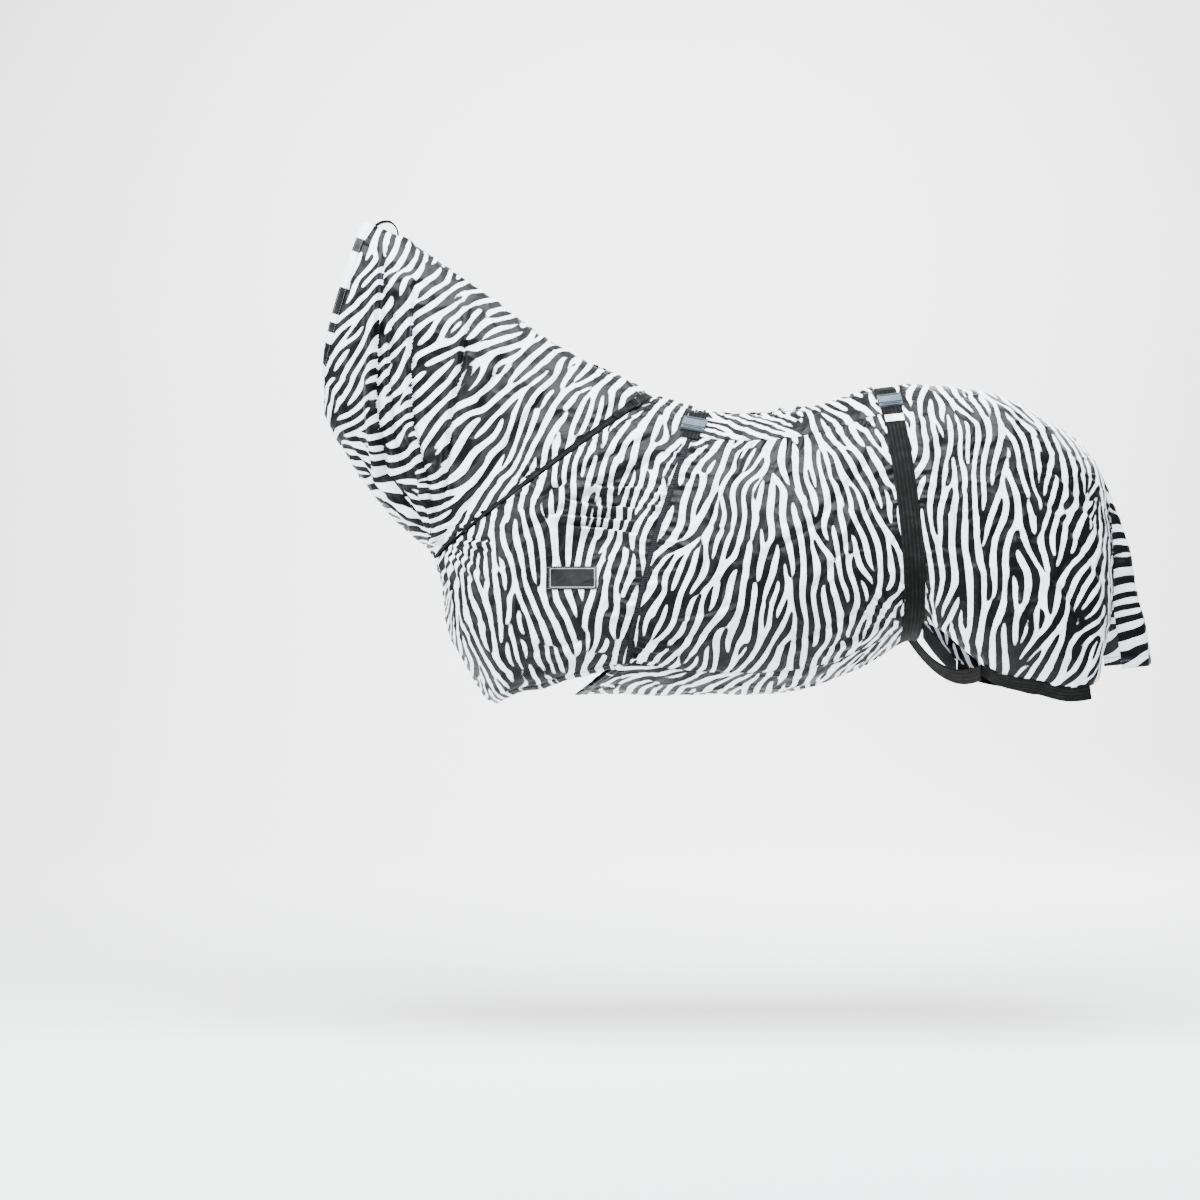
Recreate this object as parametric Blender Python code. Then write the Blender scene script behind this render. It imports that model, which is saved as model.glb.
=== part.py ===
"""Fly sheet with a neck cover, a belly panel and a tail flap, in the shape it takes on a horse.

Metres, +Z up. +X runs from head to tail and +Y to the horse's right. The origin is the seat
on the withers, where the neck cover meets the body of the sheet.

Every cloth and webbing piece is a tile of one curved form. The form is a run of stations from
the head opening to the rear edge. A station is a line across the horse's side, from its top
point on the back to its low point under the body, with a half width that swells between them.
"""

import math
from collections import namedtuple

import bmesh
import bpy
from mathutils import Matrix, Vector

# Overall sizes of the horse-shaped form
BACK_LENGTH = 1.19  # withers to tail root, measured level
BODY_DEPTH = 0.80  # withers to the deepest point of the belly
BARREL_WIDTH = 0.636  # across the widest ribs

# Cloth and webbing
FABRIC = 0.002
WEBBING = 0.0025
SEAM_GAP = 0.0003
SLIT_WIDTH = 0.020  # open slit along the spine, under the saddle
HEAD_HEM_WIDTH = 0.022
FRONT_HEM_WIDTH = 0.020
NECK_STRAP_WIDTH = 0.025
GIRTH_ELASTIC_WIDTH = 0.014
FLANK_WEBBING_WIDTH = 0.052
HIND_BAND_WIDTH = 0.040
LEG_STRAP_WIDTH = 0.040
LEG_STRAP_APART = 0.012  # between the two leg straps where they cross
LEG_STRAP_SAG = {"left": 0.004, "right": 0.004 + LEG_STRAP_WIDTH + LEG_STRAP_APART}
ON_TOP = 0.0009  # clearance of a flat piece that lies on the facets of another

# Side-release buckle, in its own frame: u across, v up the strap from the mouth, w off the cloth
WEB_WIDTH = 0.050
WEB_SLOT = WEBBING + 0.0007  # a slot, with room for the web to pass
SLOT_SIDE_ROOM = 0.001  # from the web's edge to the slot's end
BUCKLE_SIDE = 0.006  # plastic beyond each edge of the web
BUCKLE_WIDTH = WEB_WIDTH + 2 * BUCKLE_SIDE
BUCKLE_LIFT = WEBBING + SEAM_GAP + 0.0006  # from the cloth to the plug's underside
HOUSING_WALL = 0.002
HOUSING_SIDE = 0.004
MOUTH_GAP = 0.0004
WINDOW_LENGTH = 0.020
PLUG_LENGTH = 0.011
PLUG_DEPTH = 0.009
HOUSING_DEPTH = PLUG_DEPTH + 2 * HOUSING_WALL
PRONG_LENGTH = 0.019
PRONG_WIDTH = 0.004
PRONG_DEPTH = PLUG_DEPTH - 0.0025
BUTTON_RECESS = 0.001  # how far the button stands in from the housing's side
BUTTON_REACH = 0.011  # from the arm's middle to the button's outer face
PRONG_PLACE = BUCKLE_WIDTH / 2 - BUTTON_RECESS - BUTTON_REACH
PRONG_GAP = 0.0008
ARM_END_ROOM = 0.0018  # from the arms' tips to the cavity's end
HOUSING_LENGTH = PRONG_GAP + PRONG_LENGTH + ARM_END_ROOM - MOUTH_GAP + 4 * WEB_SLOT
TONGUE_WIDTH = 0.014
TONGUE_LENGTH = PRONG_LENGTH
TONGUE_DEPTH = 0.004
PLUG_CLEARANCE = 0.0002
PLUG_WEB_LENGTH = 0.034
HOUSING_WEB_LENGTH = 0.030

# Adjusting slider on the neck strap
BRIDGE_WIDTH = 0.020
BRIDGE_LENGTH = 0.100
BRIDGE_LIFT = 0.0075
BRIDGE_FOOT = 0.010
SLIDER_WIDTH = 0.031
SLIDER_LENGTH = 0.018
SLIDER_DEPTH = 0.0075
SLIDER_CHANNEL = 0.0030
SLIDER_BAR = 0.0035

# Poll loop, label, keeper and tail flap
POLL_LOOP_WIDTH = 0.026
POLL_LOOP_HEIGHT = 0.024
POLL_LOOP_BASE = 0.0015
POLL_LOOP_GAP = SEAM_GAP + 0.0004  # between the base and the ends of the loop
POLL_LOOP_STATIONS = (0.15, 1.10)
LABEL_LENGTH = 0.126
LABEL_HEIGHT = 0.058
LABEL_THICKNESS = 0.001
KEEPER_LENGTH = 0.024
TAIL_FLAP_LOW_HALF = 0.115
TAIL_HEM_WIDTH = 0.024

# How finely the form is cut
ROWS = 12  # from the spine to the hem, or to the belly seam
BELLY_ROWS = 4  # from the belly seam to the middle of the belly
SADDLE_ROW = 3  # the row where the saddle panel ends and the flank panel starts
NECK_COLUMNS = 8
BARREL_COLUMNS = 8
HIND_BAND_COLUMNS = 4

# Stations of a reference horse: top point (x, z), low point (x, z), half width, how far the
# line bows to the rear, how low the widest part lies, how square the section is, and the
# angle in degrees where the cloth ends, of 180 from the spine to the middle of the belly.
REFERENCE = {"length": 1.19, "depth": 0.80, "width": 0.636}
Station = namedtuple("Station", "top_x top_z low_x low_z half bow low square end")
STATIONS = {
    "head_opening": Station(-0.751, 0.459, -0.878, 0.030, 0.115, 0.000, 0.05, 0.00, 180),
    "poll": Station(-0.689, 0.432, -0.869, -0.051, 0.120, 0.000, 0.06, 0.00, 180),
    "neck_1": Station(-0.608, 0.386, -0.837, -0.124, 0.125, 0.000, 0.08, 0.00, 180),
    "neck_2": Station(-0.500, 0.310, -0.797, -0.178, 0.130, 0.000, 0.10, 0.00, 180),
    "neck_3": Station(-0.392, 0.235, -0.751, -0.243, 0.135, 0.000, 0.10, 0.00, 180),
    "neck_4": Station(-0.284, 0.151, -0.697, -0.319, 0.145, 0.000, 0.10, 0.00, 180),
    "neck_5": Station(-0.176, 0.092, -0.640, -0.375, 0.160, 0.000, 0.10, 0.00, 180),
    "neck_6": Station(-0.081, 0.049, -0.605, -0.405, 0.180, 0.000, 0.10, 0.00, 180),
    "neck_strap": Station(0.000, 0.000, -0.583, -0.432, 0.200, -0.008, 0.10, 0.00, 180),
    "shoulder_1": Station(0.027, -0.011, -0.562, -0.505, 0.225, -0.008, 0.11, 0.02, 180),
    "shoulder_2": Station(0.049, -0.016, -0.548, -0.605, 0.250, -0.010, 0.13, 0.04, 180),
    "shoulder_3": Station(0.068, -0.022, -0.508, -0.699, 0.265, -0.012, 0.15, 0.06, 180),
    "chest_corner": Station(0.086, -0.027, -0.429, -0.818, 0.275, -0.015, 0.18, 0.08, 180),
    "foreleg_1": Station(0.103, -0.032, -0.310, -0.821, 0.285, -0.020, 0.19, 0.08, 152),
    "foreleg_2": Station(0.119, -0.038, -0.194, -0.805, 0.292, -0.025, 0.18, 0.07, 145),
    "girth": Station(0.135, -0.043, -0.076, -0.799, 0.300, -0.030, 0.16, 0.06, 141),
    "rib_1": Station(0.243, -0.051, 0.081, -0.799, 0.310, -0.014, 0.13, 0.04, 146),
    "rib_2": Station(0.365, -0.043, 0.257, -0.802, 0.318, 0.000, 0.12, 0.03, 147),
    "rib_3": Station(0.473, -0.022, 0.419, -0.786, 0.318, 0.006, 0.12, 0.03, 147),
    "rib_4": Station(0.562, 0.008, 0.572, -0.726, 0.311, 0.008, 0.12, 0.03, 148),
    "flank": Station(0.626, 0.019, 0.691, -0.659, 0.302, 0.010, 0.13, 0.04, 149),
    "rump_1": Station(0.689, 0.024, 0.751, -0.686, 0.300, 0.010, 0.15, 0.06, 146),
    "rump_2": Station(0.770, 0.024, 0.818, -0.740, 0.300, 0.010, 0.17, 0.08, 148),
    "rump_3": Station(0.851, 0.014, 0.905, -0.821, 0.300, 0.010, 0.18, 0.09, 145),
    "rump_4": Station(0.945, -0.005, 1.007, -0.861, 0.293, 0.010, 0.18, 0.09, 141),
    "rump_5": Station(1.026, -0.043, 1.085, -0.896, 0.280, 0.015, 0.18, 0.09, 137),
    "rump_6": Station(1.102, -0.089, 1.145, -0.915, 0.256, 0.030, 0.18, 0.08, 130),
    "rump_7": Station(1.156, -0.132, 1.130, -0.929, 0.210, 0.052, 0.18, 0.06, 120),
    "rear_edge": Station(1.188, -0.167, 1.100, -0.942, 0.130, 0.075, 0.18, 0.04, 108),
}
NAMES = list(STATIONS)
SLIT_FIRST, SLIT_LAST = "shoulder_3", "rump_2"
CHEST_ARC = 0.6  # stations over which the front hem turns round the chest

# Where small things sit on the form: station, row from the spine, or angle in degrees
FRONT_BUCKLE_ROW = 2.5
REAR_BUCKLE_ROW = 2.5
SLIDER_ROW = 2.45
LABEL_COLUMN, LABEL_ROW = 9, 8  # of the shoulder panel
HIND_BAND_STATIONS = (22.55, 25.75)
TONGUE_REACH = 0.95  # stations that the belly panel runs forward between the forelegs

# Tail flap: middle line and side edge, from the hinge to the hem, each (x, z)
TAIL_MIDDLE = [(1.190, -0.169), (1.240, -0.275), (1.278, -0.405), (1.304, -0.520), (1.339, -0.700)]
TAIL_SIDE = [(1.209, -0.244), (1.228, -0.330), (1.232, -0.440), (1.230, -0.550), (1.249, -0.710)]
TAIL_SEAM_ROWS = 4  # rows of the rump panel's rear edge that the flap is sewn to, each side
TAIL_FLAP_ROWS = 7


def station_index(name):
    return NAMES.index(name)


def through(values, t):
    """A smooth (Catmull-Rom) value at place t through evenly spaced values."""
    last = len(values) - 1
    i = min(max(int(math.floor(t)), 0), last - 1)
    f = t - i
    p1, p2 = values[i], values[i + 1]
    p0 = values[i - 1] if i else 2 * p1 - p2
    p3 = values[i + 2] if i + 2 <= last else 2 * p2 - p1
    return 0.5 * (
        2 * p1
        + (p2 - p0) * f
        + (2 * p0 - 5 * p1 + 4 * p2 - p3) * f * f
        + (3 * p1 - p0 - 3 * p2 + p3) * f**3
    )


class Form:
    """The horse-shaped surface, for the left side: y is negative."""

    def __init__(self):
        sx = BACK_LENGTH / REFERENCE["length"]
        sz = BODY_DEPTH / REFERENCE["depth"]
        sy = BARREL_WIDTH / REFERENCE["width"]
        scale = Station(sx, sz, sx, sz, sy, sx, 1.0, 1.0, math.radians(1))
        self.columns = [
            [getattr(s, field) * getattr(scale, field) for s in STATIONS.values()]
            for field in Station._fields
        ]

    def at(self, a):
        return Station(*[through(column, a) for column in self.columns])

    def point(self, a, angle):
        s = self.at(a)
        share = (1 - math.cos(angle)) / 2
        bow = s.bow * 4 * share * (1 - share)
        swell = math.sin(angle) - s.low * math.sin(2 * angle) + s.square * math.sin(3 * angle)
        return Vector(
            (
                s.top_x + (s.low_x - s.top_x) * share + bow,
                -s.half * swell,
                s.top_z + (s.low_z - s.top_z) * share,
            )
        )

    def slopes(self, a, angle):
        """How the point moves per station and per radian."""
        da, dt = 0.02, 0.01
        along = (self.point(a + da, angle) - self.point(a - da, angle)) / (2 * da)
        down = (self.point(a, angle + dt) - self.point(a, angle - dt)) / (2 * dt)
        return along, down

    def normal(self, a, angle):
        along, down = self.slopes(a, angle)
        return down.cross(along).normalized()

    def end(self, a):
        """The angle of the cloth's lower edge: a hem, or the belly seam."""
        corner = station_index("chest_corner")
        if a <= corner:
            return math.pi
        after = corner + CHEST_ARC
        if a < after:  # a quarter of an ellipse, so that the hem crosses the chest squarely
            left = (after - a) / CHEST_ARC
            open_angle = math.pi - through(self.columns[-1], corner + 1)
            return math.pi - open_angle * math.sqrt(max(0.0, 1 - left * left))
        return min(through(self.columns[-1], max(a, corner + 1)), math.pi)

    def start(self, a):
        """The angle of the cloth's upper edge: the middle of the back, or the slit's edge."""
        first, last = station_index(SLIT_FIRST), station_index(SLIT_LAST)
        if not first < a < last:
            return 0.0
        ease = min(1.0, (a - first) / 1.5, (last - a) / 1.0)
        half_gap = SLIT_WIDTH / 2 * math.sin(ease * math.pi / 2)
        _, down = self.slopes(a, 0.0)
        return half_gap / abs(down.y)

    def row(self, a, i):
        """The angle of row i, where rows past ROWS run on to the middle of the belly."""
        end = self.end(a)
        if i <= ROWS:
            return self.start(a) + (end - self.start(a)) * i / ROWS
        return end + (math.pi - end) * (i - ROWS) / BELLY_ROWS

    def shifted(self, a, i, distance):
        """The place on row i that lies that far to the rear of station a, across the line."""
        here = self.row(a, i)
        along, down = self.slopes(a, here)
        across = along - down * (along.dot(down) / down.length_squared)
        return a + distance / across.length

    def on_facet(self, a, row):
        """The point between two rows on the straight line that joins them."""
        i = min(int(row), ROWS - 1)
        low, high = (self.point(a, self.row(a, k)) for k in (i, i + 1))
        return low.lerp(high, row - i)

    def frame_at(self, a, row, side):
        """Axes on the cloth: u to the rear, v up towards the spine, w off the cloth."""
        i = int(row)
        origin = self.on_facet(a, row)
        up = (self.point(a, self.row(a, i)) - self.point(a, self.row(a, i + 1))).normalized()
        off = self.normal(a, self.row(a, row))
        off = (off - up * off.dot(up)).normalized()
        if side > 0:
            origin, up, off = (Vector((p.x, -p.y, p.z)) for p in (origin, up, off))
        across = up.cross(off)
        frame = Matrix((across, up, off)).transposed().to_4x4()
        frame.translation = origin
        return frame


FORM = Form()
SIDES = {"left": -1, "right": 1}


# ---------------------------------------------------------------- building meshes


def clear_scene():
    for obj in list(bpy.data.objects):
        bpy.data.objects.remove(obj)


def material(name, colour, roughness, metallic=0.0):
    made = bpy.data.materials.new(name)
    made.use_nodes = True
    shader = made.node_tree.nodes["Principled BSDF"]
    shader.inputs["Base Color"].default_value = (*colour, 1.0)
    shader.inputs["Roughness"].default_value = roughness
    shader.inputs["Metallic"].default_value = metallic
    return made


def add_object(name, mesh, finish, parent=None):
    mesh.materials.append(finish)
    obj = bpy.data.objects.new(name, mesh)
    bpy.context.scene.collection.objects.link(obj)
    obj.parent = parent
    return obj


def mesh_of(name, vertices, faces):
    bm = bmesh.new()
    made = [bm.verts.new(v) for v in vertices]
    for face in faces:
        bm.faces.new([made[i] for i in face])
    bmesh.ops.recalc_face_normals(bm, faces=bm.faces)
    mesh = bpy.data.meshes.new(name)
    bm.to_mesh(mesh)
    bm.free()
    return mesh


def flipped(points):
    return [[Vector((p.x, -p.y, p.z)) for p in line] for line in points]


def shell(name, outer, inner, finish, wrap=False, parent=None):
    """A closed sheet between two grids of points. wrap joins the last line to the first."""
    lines, across = len(outer), len(outer[0])
    vertices = [p for grid in (outer, inner) for line in grid for p in line]
    faces = []

    def index(layer, i, j):
        return (layer * lines + i % lines) * across + j

    spans = lines if wrap else lines - 1
    for i in range(spans):
        for j in range(across - 1):
            for layer in (0, 1):
                a, b = index(layer, i, j), index(layer, i, j + 1)
                c, d = index(layer, i + 1, j + 1), index(layer, i + 1, j)
                faces += [(a, b, c), (a, c, d)] if layer == 0 else [(a, c, b), (a, d, c)]
        for j in (0, across - 1):
            faces.append((index(0, i, j), index(0, i + 1, j), index(1, i + 1, j), index(1, i, j)))
    if not wrap:
        for i in (0, lines - 1):
            for j in range(across - 1):
                faces.append(
                    (index(0, i, j), index(0, i, j + 1), index(1, i, j + 1), index(1, i, j))
                )
    return add_object(name, mesh_of(name, vertices, faces), finish, parent)


def pulled_in(grid, lines=True, columns=True):
    """The grid with its edges drawn in by half a seam gap."""
    grid = [[p.copy() for p in line] for line in grid]
    half = SEAM_GAP / 2

    def toward(p, q):
        return p + (q - p).normalized() * half

    if lines:
        grid[0] = [toward(p, q) for p, q in zip(grid[0], grid[1])]
        grid[-1] = [toward(p, q) for p, q in zip(grid[-1], grid[-2])]
    if columns:
        for line in grid:
            line[0], line[-1] = toward(line[0], line[1]), toward(line[-1], line[-2])
    return grid


def on_form(places, offset):
    """Points at each (station, angle) place, that far off the form."""
    return [
        [FORM.point(a, angle) + FORM.normal(a, angle) * offset for a, angle in line]
        for line in places
    ]


def tile_places(first, last, columns, rows):
    """Places of a tile whose front and rear edges are the stations first(i) and last(i).

    columns is how many there are, or the stations between the edges that they have at the hem.
    """
    if isinstance(columns, int):
        shares = [j / columns for j in range(columns + 1)]
    else:
        low, high = first(ROWS), last(ROWS)
        shares = [0.0] + [(a - low) / (high - low) for a in columns] + [1.0]
    places = []
    for i in rows:
        stations = [first(i) + (last(i) - first(i)) * share for share in shares]
        places.append([(a, FORM.row(a, i)) for a in stations])
    return places


def tile(name, places, finish, thickness=FABRIC, proud=0.0):
    """A left and a right piece of cloth on the form, with a seam gap all round."""
    outer = pulled_in(on_form(places, proud))
    inner = pulled_in(on_form(places, -thickness))
    shell(f"{name}_left", outer, inner, finish)
    shell(f"{name}_right", flipped(outer), flipped(inner), finish)


def across_belly(places):
    """Left rows, then the same rows mirrored, as (station, angle, side) places."""
    left = [[(a, angle, -1) for a, angle in line] for line in places]
    right = [[(a, angle, 1) for a, angle in line] for line in reversed(places[:-1])]
    return left + right


def sided_points(places, offset):
    points = []
    for line in places:
        made = []
        for a, angle, side in line:
            p = FORM.point(a, angle) + FORM.normal(a, angle) * offset
            made.append(Vector((p.x, p.y * -side, p.z)))
        points.append(made)
    return points


def fixed(name):
    place = station_index(name)
    return lambda i: place


def beside(name, distance):
    """The edge of a strip centred on a station: that far to the rear of it."""
    place = station_index(name)
    return lambda i: FORM.shifted(place, i, distance)


# ---------------------------------------------------------------- cloth panels and strips


def shoulder_places():
    """The shoulder panel, with close columns where the front hem turns round the chest."""
    corner = station_index("chest_corner")
    before = [corner - k for k in (3, 2, 1, 0)]
    turn = [corner + CHEST_ARC * (1 - math.cos(k * math.pi / 8)) for k in range(1, 5)]
    after = [corner + CHEST_ARC + (3 - CHEST_ARC) * k / 4 for k in range(1, 4)]
    edges = beside("neck_strap", NECK_STRAP_WIDTH / 2), beside("girth", -GIRTH_ELASTIC_WIDTH / 2)
    return tile_places(*edges, before + turn + after, range(ROWS + 1))


def rump_places():
    """The rump panel, with a column at each end of the hem band."""
    first, last = HIND_BAND_STATIONS
    band = [first + (last - first) * k / HIND_BAND_COLUMNS for k in range(HIND_BAND_COLUMNS + 1)]
    before = [first - (first - 20) * share for share in (0.60, 0.28)]
    after = [last + (28 - last) * share for share in (0.36, 0.70)]
    edges = beside("flank", FLANK_WEBBING_WIDTH / 2), fixed("rear_edge")
    return tile_places(*edges, before + band + after, range(ROWS + 1))


def build_panels(cloth):
    strap, elastic, web = NECK_STRAP_WIDTH / 2, GIRTH_ELASTIC_WIDTH / 2, FLANK_WEBBING_WIDTH / 2
    down = range(ROWS + 1)
    tile(
        "neck_cover",
        tile_places(fixed("head_opening"), beside("neck_strap", -strap), NECK_COLUMNS, down),
        cloth,
    )
    tile("shoulder_panel", shoulder_places(), cloth)
    barrel = beside("girth", elastic), beside("flank", -web)
    tile("saddle_panel", tile_places(*barrel, BARREL_COLUMNS, range(SADDLE_ROW + 1)), cloth)
    tile("flank_panel", tile_places(*barrel, BARREL_COLUMNS, range(SADDLE_ROW, ROWS + 1)), cloth)
    tile("rump_panel", rump_places(), cloth)


def build_strips(webbing, elastic):
    down = range(ROWS + 1)
    half = NECK_STRAP_WIDTH / 2
    places = tile_places(beside("neck_strap", -half), beside("neck_strap", half), 1, down)
    tile("neck_strap", places, webbing, WEBBING)
    half = GIRTH_ELASTIC_WIDTH / 2
    places = tile_places(beside("girth", -half), beside("girth", half), 1, down)
    tile("girth_elastic", places, elastic)
    half = FLANK_WEBBING_WIDTH / 2
    all_rows = range(ROWS + BELLY_ROWS + 1)
    places = tile_places(beside("flank", -half), beside("flank", half), 2, all_rows)
    tile("flank_webbing", places, webbing, WEBBING)


def belly_front(i):
    """The belly panel's front edge: at the girth by the seam, further forward in the middle."""
    share = (i - ROWS) / BELLY_ROWS
    seam = FORM.shifted(station_index("girth"), ROWS, GIRTH_ELASTIC_WIDTH / 2)
    return seam - TONGUE_REACH * math.sin(share * math.pi / 2)


def build_belly(cloth):
    rows = range(ROWS, ROWS + BELLY_ROWS + 1)
    rear = beside("flank", -FLANK_WEBBING_WIDTH / 2)
    places = across_belly(tile_places(belly_front, rear, BARREL_COLUMNS, rows))
    outer = pulled_in(sided_points(places, 0.0))
    inner = pulled_in(sided_points(places, -FABRIC))
    shell("belly_panel", outer, inner, cloth)
    edge, behind = [line[0] for line in places], [line[1] for line in places]
    build_edge_strip("belly_front_hem", edge, behind, FRONT_HEM_WIDTH, cloth, FABRIC, 0.4)


def edge_frames(edge, behind):
    """For each place on a cut edge: its point, the normal, and the way off the cloth."""
    points = [line[0] for line in sided_points([[place] for place in edge], 0.0)]
    cloth = [line[0] for line in sided_points([[place] for place in behind], 0.0)]
    frames = []
    for k, (a, angle, side) in enumerate(edge):
        n = FORM.normal(a, angle)
        n = Vector((n.x, n.y * -side, n.z))
        run = (points[min(k + 1, len(points) - 1)] - points[max(k - 1, 0)]).normalized()
        away = n.cross(run).normalized()
        if away.dot(points[k] - cloth[k]) < 0:
            away = -away
        frames.append((points[k], n, away))
    return frames


def build_edge_strip(name, edge, behind, width, finish, thickness, shorter=0.0):
    """A strip that runs on from a cut edge, a seam gap away from it. behind lies on the cloth.

    shorter is the share of the first and the last step that the strip leaves free.
    """
    outer, inner = [], []
    frames = edge_frames(edge, behind)
    for end, beyond in ((0, 1), (-1, -2)):
        point, normal, away = frames[end]
        frames[end] = point.lerp(frames[beyond][0], shorter), normal, away
    for point, normal, away in frames:
        ends = [point + away * SEAM_GAP / 2, point + away * width]
        outer.append(ends)
        inner.append([p - normal * thickness for p in ends])
    return shell(name, outer, inner, finish)


def build_hems(cloth, webbing):
    corner = station_index("chest_corner")
    hem = [a for a, _ in shoulder_places()[-1] if a > corner - 0.001]
    left = [(a, FORM.end(a), -1) for a in reversed(hem)]
    edge = left + [(a, angle, 1) for a, angle, _ in reversed(left[:-1])]
    behind = [(a - 0.1 if angle > 3.0 else a, angle - 0.1, side) for a, angle, side in edge]
    build_edge_strip("front_hem", edge, behind, FRONT_HEM_WIDTH, cloth, FABRIC, 0.35)

    first, last = HIND_BAND_STATIONS
    hem = [a for a, _ in rump_places()[-1] if first - 0.001 < a < last + 0.001]
    for side_name, side in SIDES.items():
        edge = [(a, FORM.end(a), side) for a in hem]
        behind = [(a, angle - 0.1, side) for a, angle, _ in edge]
        name = f"hind_hem_band_{side_name}"
        build_edge_strip(name, edge, behind, HIND_BAND_WIDTH, webbing, WEBBING)


def build_head_hem(cloth):
    """A ring of turned cloth round the head opening, in front of the first station."""
    outer, inner = [], []
    for side in (-1, 1):
        rows = range(ROWS + 1) if side < 0 else range(ROWS - 1, 0, -1)
        for i in rows:
            angle = FORM.row(0, i)
            point, normal = FORM.point(0, angle), FORM.normal(0, angle)
            along, down = FORM.slopes(0, angle)
            forward = -(along - down * (along.dot(down) / down.length_squared)).normalized()
            ends = [point + forward * SEAM_GAP / 2, point + forward * HEAD_HEM_WIDTH]
            line = [ends, [p - normal * FABRIC for p in ends]]
            if side > 0:
                line = flipped(line)
            outer.append(line[0])
            inner.append(line[1])
    shell("head_opening_hem", outer, inner, cloth, wrap=True)


# ---------------------------------------------------------------- straps that cross between the hind legs


def ribbon(name, points, widths, thickness, finish, parent=None):
    """A flat strap through points; widths holds the vector across it at each point."""
    outer, inner = [], []
    for k, (p, across) in enumerate(zip(points, widths)):
        run = points[min(k + 1, len(points) - 1)] - points[max(k - 1, 0)]
        off = run.cross(across).normalized() * thickness / 2
        outer.append([p - across / 2 + off, p + across / 2 + off])
        inner.append([p - across / 2 - off, p + across / 2 - off])
    return shell(name, outer, inner, finish, parent=parent)


def build_leg_straps(webbing):
    """Each strap leaves one flank webbing and crosses to the hind band of the other side."""
    groin = FORM.shifted(station_index("flank"), ROWS, FLANK_WEBBING_WIDTH / 2 + 0.0025)
    band = HIND_BAND_STATIONS[0]
    for side_name, side in SIDES.items():
        start = FORM.point(groin, FORM.end(groin))
        end = FORM.point(band, FORM.end(band))
        tuck = FABRIC + WEBBING
        start = Vector((start.x, (start.y + tuck) * -side, start.z - LEG_STRAP_WIDTH / 2 - ON_TOP))
        end = Vector((end.x - 0.004, (end.y + tuck) * side, end.z - LEG_STRAP_WIDTH / 2 - ON_TOP))
        sag = LEG_STRAP_SAG[side_name]
        points, widths = [], []
        for k in range(9):
            t = k / 8
            p = start.lerp(end, t)
            p.z -= sag * 4 * t * (1 - t)
            points.append(p)
            widths.append(Vector((0, 0, LEG_STRAP_WIDTH)))
        ribbon(f"leg_strap_{side_name}", points, widths, WEBBING, webbing)


# ---------------------------------------------------------------- buckles


def block(name, low, high, finish, parent):
    corners = [
        (x, y, z) for x in (low[0], high[0]) for y in (low[1], high[1]) for z in (low[2], high[2])
    ]
    sides = [(0, 1, 3, 2), (4, 6, 7, 5), (0, 4, 5, 1), (2, 3, 7, 6), (0, 2, 6, 4), (1, 5, 7, 3)]
    return add_object(name, mesh_of(name, corners, sides), finish, parent)


def combine(target, other, operation):
    """Cuts other out of target, or joins it to target. other is only a helper."""
    other.hide_render = True
    other.display_type = "WIRE"
    modifier = target.modifiers.new(other.name, "BOOLEAN")
    modifier.object = other
    modifier.operation = operation
    modifier.solver = "EXACT"


def build_housing(name, plastic, frame):
    """The socket: two plates joined at the far end, open at the mouth and at both sides there."""
    half, low = BUCKLE_WIDTH / 2, BUCKLE_LIFT - HOUSING_WALL
    high, over = low + HOUSING_DEPTH, 0.01
    housing = block(
        f"buckle_housing_{name}",
        (-half, MOUTH_GAP, low),
        (half, MOUTH_GAP + HOUSING_LENGTH, high),
        plastic,
        frame,
    )
    room = half - HOUSING_SIDE
    inside_low, inside_high = low + HOUSING_WALL, high - HOUSING_WALL
    web_place = MOUTH_GAP + HOUSING_LENGTH - 2 * WEB_SLOT
    cuts = {
        "cavity": ((-room, -over, inside_low), (room, web_place - 2 * WEB_SLOT, inside_high)),
        "windows": (
            (-half - over, -over, inside_low),
            (half + over, MOUTH_GAP + WINDOW_LENGTH, inside_high),
        ),
        "web_slot": (
            (-WEB_WIDTH / 2 - SLOT_SIDE_ROOM, web_place, low - over),
            (WEB_WIDTH / 2 + SLOT_SIDE_ROOM, web_place + WEB_SLOT, high + over),
        ),
    }
    for cut_name, (a, b) in cuts.items():
        combine(housing, block(f"{cut_name}_{name}", a, b, plastic, frame), "DIFFERENCE")


def build_plug(name, plastic, frame):
    """The bar that holds the web, with the tongue that guides it into the housing."""
    half, low, over = BUCKLE_WIDTH / 2, BUCKLE_LIFT + PLUG_CLEARANCE, 0.01
    high = low + PLUG_DEPTH
    plug = block(f"buckle_plug_{name}", (-half, -PLUG_LENGTH, low), (half, 0, high), plastic, frame)
    middle = (low + high) / 2
    tongue = block(
        f"tongue_{name}",
        (-TONGUE_WIDTH / 2, -0.002, middle - TONGUE_DEPTH / 2),
        (TONGUE_WIDTH / 2, TONGUE_LENGTH, middle + TONGUE_DEPTH / 2),
        plastic,
        frame,
    )
    combine(plug, tongue, "UNION")
    slot_low = -PLUG_LENGTH / 2 - WEB_SLOT / 2
    slot = block(
        f"plug_slot_{name}",
        (-WEB_WIDTH / 2 - SLOT_SIDE_ROOM, slot_low, low - over),
        (WEB_WIDTH / 2 + SLOT_SIDE_ROOM, slot_low + WEB_SLOT, high + over),
        plastic,
        frame,
    )
    combine(plug, slot, "DIFFERENCE")


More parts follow.
